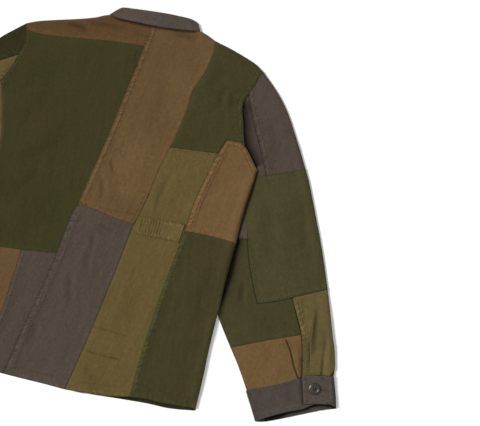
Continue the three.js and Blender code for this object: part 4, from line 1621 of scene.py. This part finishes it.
def right_sleeve() -> Sleeve:
    """Plans the sleeve on the wearer's right, laid out beside the body.

    Returns:
        The sleeve.
    """
    finishes = {
        "sleeve_right_cap": GREY, "sleeve_right_elbow": SLEEVE_GREEN,
        "sleeve_right_forearm_green": FOREARM_GREEN, "sleeve_right_underarm": GREY,
        "sleeve_right_forearm_brown": SIDE_BROWN, "sleeve_right_forearm_olive": FOREARM_OLIVE,
    }
    seams = (
        SeamPlan("sleeve_right_cap", ("sleeve_right_underarm", "sleeve_right_forearm_green"),
                 (3.0, 9.5), 0.7, 0.35, 0.32),
        SeamPlan("sleeve_right_elbow", ("sleeve_right_cap",), (3.0,), 0.5, 0.12, 0.16),
        SeamPlan("sleeve_right_elbow", ("sleeve_right_forearm_green",), (3.5,), 1.0, 0.15),
        SeamPlan("sleeve_right_elbow", ("sleeve_right_forearm_olive",), (3.5,), 0.9, 0.15, 0.3),
        SeamPlan("sleeve_right_forearm_olive", ("sleeve_right_forearm_green", "sleeve_right_forearm_brown"),
                 (8.4, 12.8), 0.6, 0.35),
        SeamPlan("sleeve_right_forearm_green", ("sleeve_right_forearm_brown",), (2.5,), 0.5, 0.15, 0.16),
        SeamPlan("sleeve_right_underarm", ("sleeve_right_forearm_green",), (2.5,), 0.4, 0.15, 0.2),
    )
    # Most creases with a positive shade get painted shade in their troughs; negative shade lightens the
    # cloth's own tone.
    creases = (
        Crease(((411, -104), (415, -137), (417.5, -162), (420.5, -182), (423, -208)),
               -2.4, 6, 2.8, (0.4, 0.2), 0.40),
        Crease(((404, -130), (408, -160), (411, -190)), 1.0, 5),
        Crease(((386, -112), (398, -140), (406, -172)), 0.0, 9, shade=-0.10),
        Crease(((430, -140), (433, -165), (436, -196)), 0.0, 8, fade=(0.3, 0.3), shade=0.14),
        Crease(((437, -152), (441, -182), (442, -200), (443.5, -216), (446, -234)), -1.3, 2.6,
               fade=(0.4, 0.0), shade=0.24),
        Crease(((442, -200), (443.5, -216), (446, -234)), -0.6, 1.5, fade=(0.4, 0.0), shade=0.34),
        Crease(((449, -160), (452, -196), (456, -232)), 1.2, 4.5),
        Crease(((469, -219), (467, -225), (464.5, -232)), -1.6, 1.9, fade=(0.2, 0.0), shade=0.9),
        Crease(((404, -200), (408, -222), (412, -243)), -1.2, 5, fade=(0.4, 0.0), shade=0.25),
        Crease(((370, -182), (385, -205), (394, -226), (409, -250)), 1.8, 11, 1.8, (0.25, 0.0)),
        # Painted shade in the pleat's fold.
        Crease(((366, -182), (374, -193), (382, -206), (391, -226), (399, -240), (407, -252)), -2.0, 1.35,
               fade=(0.08, 0.0), shade=0.76),
        Crease(((392, -206), (400, -226), (409, -244)), 0.0, 8, fade=(0.3, 0.0), shade=0.07),
        Crease(((372, -184), (378, -189), (386, -206)), -0.6, 2.6, fade=(0.2, 0.4), shade=0.28),
        Crease(((384, -182), (396, -206), (405, -236)), 1.0, 5),
        Crease(((330, -190), (340, -215), (352, -245)), -0.7, 9, shade=0.08),
        Crease(((290, -215), (306, -240), (322, -270)), 0.7, 9),
        Crease(((266, -92), (270, -116), (273, -142)), -1.8, 5, shade=0.28),
        Crease(((278, -96), (284, -120), (290, -150)), 1.1, 7),
        Crease(((300, 90), (318, 20), (345, -60)), 1.6, 16),
        Crease(((276, 70), (290, 10), (316, -70)), -1.2, 13, shade=0.10),
        Crease(((332, 98), (352, 42), (378, -34)), -1.2, 11, shade=0.10),
        Crease(((300, 40), (318, 30), (338, 34)), -0.8, 6, shade=0.08),
        Crease(((318, -12), (340, -22), (366, -18)), -0.8, 6, shade=0.08),
        Crease(((262, 62), (276, 40), (298, 30)), 0.7, 7),
        Crease(((318, -140), (332, -165), (352, -182)), -1.0, 9, shade=0.10),
        Crease(((286, -140), (300, -170), (312, -196)), 0.9, 9),
        Crease(((262, 232), (284, 190), (306, 140)), 1.1, 12),
        Crease(((296, 196), (330, 130), (362, 56), (388, -10), (414, -78)), 1.6, 9, fade=(0.1, 0.2)),
        Crease(((414, -74), (432, -126), (447, -170), (459, -228)), 2.4, 10, fade=(0.2, 0.0)),
        Crease(((250, 214), (266, 176), (288, 128)), -0.8, 9, shade=0.08),
        # Painted shadow of the back's raised edge on the sleeve, along the armhole and the body's side.
        Crease(((207, 246), (201, 234), (202, 212), (209, 186), (219, 154), (248, 113)), -1.6, 16.5,
               7, fade=(0.20, 0.03), shade=0.84),
        Crease(((252, 112), (249, 68), (245, 32), (241, -28)), -0.8, 2.8, fade=(0.03, 0.1), shade=0.80),
        Crease(((241, -14), (241, -50), (240, -100), (238, -168)), -2.0, 12, fade=(0.05, 0.55), shade=0.72),
        Crease(((241, -20), (240, -60), (239, -100), (237, -172)), -0.6, 5, fade=(0.02, 0.0), shade=0.72),
    )
    return Sleeve("right", finishes, seams, creases, FINE)


def left_sleeve() -> Sleeve:
    """Plans the sleeve on the wearer's left.

    Returns:
        The sleeve.
    """
    finishes = {
        "sleeve_left_cap": CAP_GREEN, "sleeve_left_band": OLIVE, "sleeve_left_upper": BROWN,
        "sleeve_left_forearm": SLEEVE_GREEN,
    }
    seams = (
        SeamPlan("sleeve_left_cap", ("sleeve_left_band",), (2.0, 9.0), 0.8, 0.4),
        SeamPlan("sleeve_left_band", ("sleeve_left_upper",), (2.0, 9.0), 0.7, 0.3),
        SeamPlan("sleeve_left_upper", ("sleeve_left_forearm",), (3.0, 9.0), 0.8, 0.3),
    )
    creases = (
        Crease(((-300, 90), (-320, 20), (-350, -60)), 1.0, 18),
        Crease(((-275, 70), (-290, 10), (-318, -70)), -0.8, 14),
        Crease(((-410, -135), (-415, -150), (-420, -203)), -1.1, 7),
        Crease(((-367, -182), (-385, -215), (-405, -248)), 1.3, 6),
        Crease(((-268, -97), (-271, -118), (-273, -150)), -0.9, 7),
        Crease(((-258, 235), (-270, 215), (-290, 195)), 0.6, 9),
    )
    return Sleeve("left", finishes, seams, creases, COARSE)


class JacketFront(Assembly):
    """The two buttoned fronts, face down under the back, and the collar's leaves below them."""

    def __init__(self) -> None:
        """Plans both fronts."""
        super().__init__("front")
        # Painted shadow on the fronts where they show under the back's raised hem.
        gap = Crease(((62, -355.5), (107, -349), (140, -346), (164, -347.5), (205, -346), (230, -345.5)),
                     0.0, 5.0, fade=(0.2, 0.03), shade=0.95)
        self.layer = Layer(("front_left", "front_right"), Face.DOWN, (gap,), None)
        self.leaves = Layer(("collar_leaf_left", "collar_leaf_right"), Face.DOWN, (), None)
        for node in self.layer.nodes:
            self.layer.hem(node, self.layer.outlines[node].below(HEM_Y), (18.0,), 0.1, 0.1)
        for node in self.leaves.nodes:
            self.leaves.hem(node, self.leaves.outlines[node].everywhere(), (5.0,), 0.1, 0.05)
        self.cover(self.layer, {n: GREEN for n in self.layer.nodes}, RESTS_ON_TABLE, HIDDEN)
        self.cover(self.leaves, {n: TRIM for n in self.leaves.nodes}, RESTS_ON_TABLE, COARSE)


class Collar(Assembly):
    """The collar's stand and the fall folded over it at the neck."""

    def __init__(self) -> None:
        """Plans the collar's two pieces behind the neck."""
        super().__init__("collar")
        ends = (
            Crease(((97, 334), (95, 343), (89, 354), (76, 360)), -3.2, 9, fade=(0.0, 0.25)),
            Crease(((40, 361), (66, 362), (84, 358)), -2.0, 6, fade=(0.3, 0.1)),
        )
        self.stand = Layer(("collar_stand",), Face.UP, ends, Ripples(3), 0.2)
        self.fall = Layer(("collar_fall",), Face.UP, ends, Ripples(4), 0.3)
        x, y = self.fall.outlines["collar_fall"].loop.T
        free_edge = y < 0.3345 + (x + 0.076) * 0.0292
        self.fall.hem("collar_fall", free_edge, (), 0.4, 0.12)
        self.fall.heights = self.fall.heights + 0.7 * MM
        self.cover(self.stand, {"collar_stand": COLLAR}, ("back_yoke_left_cloth",))
        self.cover(self.fall, {"collar_fall": COLLAR}, ("collar_stand_cloth",))


# ------------------------------------------------------------------------------- buttons
@dataclass
class Button:
    """A four-hole button with a raised rim, sewn on with crossed threads."""

    STRAND_STEPS: ClassVar[int] = 12
    STRAND_SIDES: ClassVar[int] = 6
    STRAND_RADIUS: ClassVar[float] = 0.24 * MM

    node: str
    face: Face
    radius: float = 11.0 * MM
    height: float = 3.2 * MM
    hole_radius: float = 1.4 * MM
    hole_offset: float = 2.5 * MM
    steps: int = 64

    def _disc(self) -> bmesh.types.BMesh:
        """Turns the body, its face up and its back at 0.

        Returns:
            The closed body.
        """
        bm = bmesh.new()
        r, h = self.radius, self.height
        profile = [(0.0, 0.25 * MM), (r - 3.4 * MM, 0.0), (r - 1.7 * MM, 0.1 * MM), (r - 0.6 * MM, 0.7 * MM)]
        profile += [(r, 1.2 * MM)]
        for inward, down in (
            (0.15, 1.65), (0.6, 1.25), (1.4, 0.75), (2.2, 0.35), (2.9, 0.07), (3.3, 0.0), (3.8, 0.1),
            (4.6, 0.6), (5.2, 0.9), (6.0, 1.0), (11.0, 1.0),
        ):
            profile.append((r - inward * MM, h - down * MM))
        verts = [bm.verts.new((x, 0.0, z)) for x, z in profile]
        edges = [bm.edges.new(pair) for pair in zip(verts, verts[1:])]
        bmesh.ops.spin(
            bm, geom=verts + edges, cent=(0, 0, 0), axis=(0, 0, 1), dvec=(0, 0, 0),
            angle=2 * math.pi, steps=self.steps, use_merge=False, use_duplicate=False,
        )
        bmesh.ops.remove_doubles(bm, verts=bm.verts[:], dist=1e-6)
        bmesh.ops.recalc_face_normals(bm, faces=bm.faces[:])
        return bm

    def _holes(self) -> bmesh.types.BMesh:
        """Four slim rods that cut the holes.

        Returns:
            The rods.
        """
        bm = bmesh.new()
        for quarter in range(4):
            angle = math.pi / 4 + quarter * math.pi / 2
            made = bmesh.ops.create_cone(
                bm, cap_ends=True, segments=20, radius1=self.hole_radius, radius2=self.hole_radius,
                depth=4 * self.height,
            )
            shift = Vector((math.cos(angle), math.sin(angle), 0)) * self.hole_offset
            bmesh.ops.translate(bm, verts=made["verts"], vec=shift)
        return bm

    def _threads(self) -> bmesh.types.BMesh:
        """Strands that cross over the button's face from hole to hole.

        Returns:
            The closed strands.
        """
        bm = bmesh.new()
        for pair in range(2):
            angle = math.pi / 4 + pair * math.pi / 2
            crown = (0.75 + 0.28 * pair) * MM
            for side in (-0.42, 0.0, 0.42):
                self._add_strand(bm, angle, side * MM, crown)
        bmesh.ops.recalc_face_normals(bm, faces=bm.faces[:])
        return bm

    def _add_strand(self, bm: bmesh.types.BMesh, angle: float, across: float, crown: float) -> None:
        """Adds one strand, arched over the face with its ends down in two holes.

        Args:
            bm: The mesh that it's added to.
            angle: Its direction.
            across: How far it lies beside the line between the holes.
            crown: How far its middle stands up.
        """
        sunk = self.height - 1.15 * MM
        along = Vector((math.cos(angle), math.sin(angle), 0))
        out = Vector((-math.sin(angle), math.cos(angle), 0))
        up = Vector((0, 0, 1))
        rings = []
        for step in range(self.STRAND_STEPS + 1):
            share = step / self.STRAND_STEPS * 2 - 1
            dive = 1.3 * MM * max(0.0, abs(share) - 0.86) / 0.14
            lift = sunk + crown * (1 - abs(share) ** 3) - dive
            centre = along * (share * self.hole_offset * 1.04) + out * across + up * lift
            turns = [k * 2 * math.pi / self.STRAND_SIDES for k in range(self.STRAND_SIDES)]
            rings.append([
                bm.verts.new(centre + self.STRAND_RADIUS * (out * math.cos(turn) + up * math.sin(turn)))
                for turn in turns
            ])
        for low, high in zip(rings, rings[1:]):
            for k in range(self.STRAND_SIDES):
                onward = (k + 1) % self.STRAND_SIDES
                bm.faces.new((low[k], low[onward], high[onward], high[k]))
        bm.faces.new(rings[0][::-1])
        bm.faces.new(rings[-1])

    def build(self) -> list[bpy.types.Object]:
        """Builds the button and its thread where the frame's solid lies.

        Returns:
            The two pieces.
        """
        low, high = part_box(self.node)
        base = Vector(((low[0] + high[0]) / 2, (low[1] + high[1]) / 2, low[2]))
        made = []
        body, holes = bpy.data.meshes.new(self.node + "_disc"), bpy.data.meshes.new("holes")
        disc, rods = self._disc(), self._holes()
        disc.to_mesh(body)
        rods.to_mesh(holes)
        disc.free()
        rods.free()
        cut = bpy.data.objects.new("disc", body)
        tool = bpy.data.objects.new("rods", holes)
        for item in (cut, tool):
            bpy.context.scene.collection.objects.link(item)
        boolean = cut.modifiers.new("holes", "BOOLEAN")
        boolean.operation, boolean.object, boolean.solver = "DIFFERENCE", tool, "EXACT"
        graph = bpy.context.evaluated_depsgraph_get()
        mesh = bpy.data.meshes.new_from_object(cut.evaluated_get(graph))
        for item in (cut, tool):
            bpy.data.objects.remove(item)
        threads = bpy.data.meshes.new(self.node + "_thread")
        strands = self._threads()
        strands.to_mesh(threads)
        strands.free()
        for name, data, finish in (
            (self.node + "_resin", mesh, Resin()),
            (self.node + "_thread", threads, BUTTON_THREAD),
        ):
            for vert in data.vertices:
                x, y, z = vert.co
                if self.face is Face.DOWN:
                    y, z = -y, self.height - z
                vert.co = base + Vector((x, y, z))
            data.polygons.foreach_set("use_smooth", [True] * len(data.polygons))
            data.set_sharp_from_angle(angle=math.radians(38))
            nodes = (self.node,) if finish.slot == "button" else ()
            made.append(place_piece(name, data, finish, nodes))
        return made


# ------------------------------------------------------------------------------- studio
@dataclass(frozen=True)
class Studio:
    """A plain pale table, soft light from one side and a camera straight above."""

    aim: tuple[float, float] = (0.236, 0.027)
    width: float = 0.888                    # what the picture shows across, in metres
    height: float = 2.6
    turn: float = 12.0                      # of the camera, in degrees

    def _light(self, name: str, azimuth: float, elevation: float, spread: float, strength: float) -> None:
        """Adds one soft distant light.

        Args:
            name: Its name.
            azimuth: Where it stands, in degrees from +X towards +Y.
            elevation: Its height above the table, in degrees.
            spread: How wide it looks, in degrees.
            strength: Its strength.
        """
        data = bpy.data.lights.new(name, "SUN")
        data.angle, data.energy = math.radians(spread), strength
        lamp = bpy.data.objects.new(name, data)
        lamp.rotation_euler = (0, math.radians(90 - elevation), math.radians(azimuth))
        lamp.location = (self.aim[0], self.aim[1], self.height)
        bpy.context.scene.collection.objects.link(lamp)

    def build(self) -> None:
        """Sets the table, the lights, the sky and the camera."""
        bm = bmesh.new()
        bmesh.ops.create_grid(bm, x_segments=2, y_segments=2, size=6.0)
        mesh = bpy.data.meshes.new("table")
        bm.to_mesh(mesh)
        bm.free()
        table = bpy.data.objects.new("table", mesh)
        bpy.context.scene.collection.objects.link(table)
        n = NodeTree("table_white")
        n.shader.inputs["Base Color"].default_value = (0.96, 0.96, 0.96, 1)
        n.shader.inputs["Roughness"].default_value = 0.9
        n.shader.inputs["Specular IOR Level"].default_value = 0.1
        mesh.materials.append(n.material)

        turn = math.radians(self.turn)
        self._light("key_light", 159.0 + self.turn, 35.0, 18.0, 3.55)
        self._light("fill_light", -30.0 + self.turn, 60.0, 50.0, 0.45)
        world = bpy.data.worlds.new("studio_white")
        world.use_nodes = True
        sky = world.node_tree.nodes["Background"]
        sky.inputs["Color"].default_value = (1, 1, 1, 1)
        sky.inputs["Strength"].default_value = 0.42
        bpy.context.scene.world = world
        bpy.context.scene.view_settings.view_transform = "Standard"

        data = bpy.data.cameras.new("camera")
        data.sensor_width = 36.0
        data.lens = 36.0 * self.height / self.width
        data.clip_end = 50.0
        camera = bpy.data.objects.new("camera", data)
        camera.location = (self.aim[0], self.aim[1], self.height)
        camera.rotation_euler = (0, 0, turn)
        bpy.context.scene.collection.objects.link(camera)
        bpy.context.scene.camera = camera


def main() -> None:
    """Builds the jacket from the table upwards."""
    logging.basicConfig(level=logging.INFO, format="%(name)s %(message)s")
    front = JacketFront()
    sleeves = (right_sleeve(), left_sleeve())
    back = JacketBack(front.layer, tuple(sleeve.upper for sleeve in sleeves))
    for sleeve in sleeves:
        sleeve.finish_edges(back.layer)
    Studio().build()
    front.build(stitched=False)
    for sleeve in sleeves:
        sleeve.build()
    back.build()
    Collar().build()
    for node in sorted(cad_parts):
        if node.startswith("button_front"):
            Button(node, Face.DOWN).build()
        elif node.startswith("button_cuff"):
            Button(node, Face.UP).build()


if __name__ == "__main__":
    main()
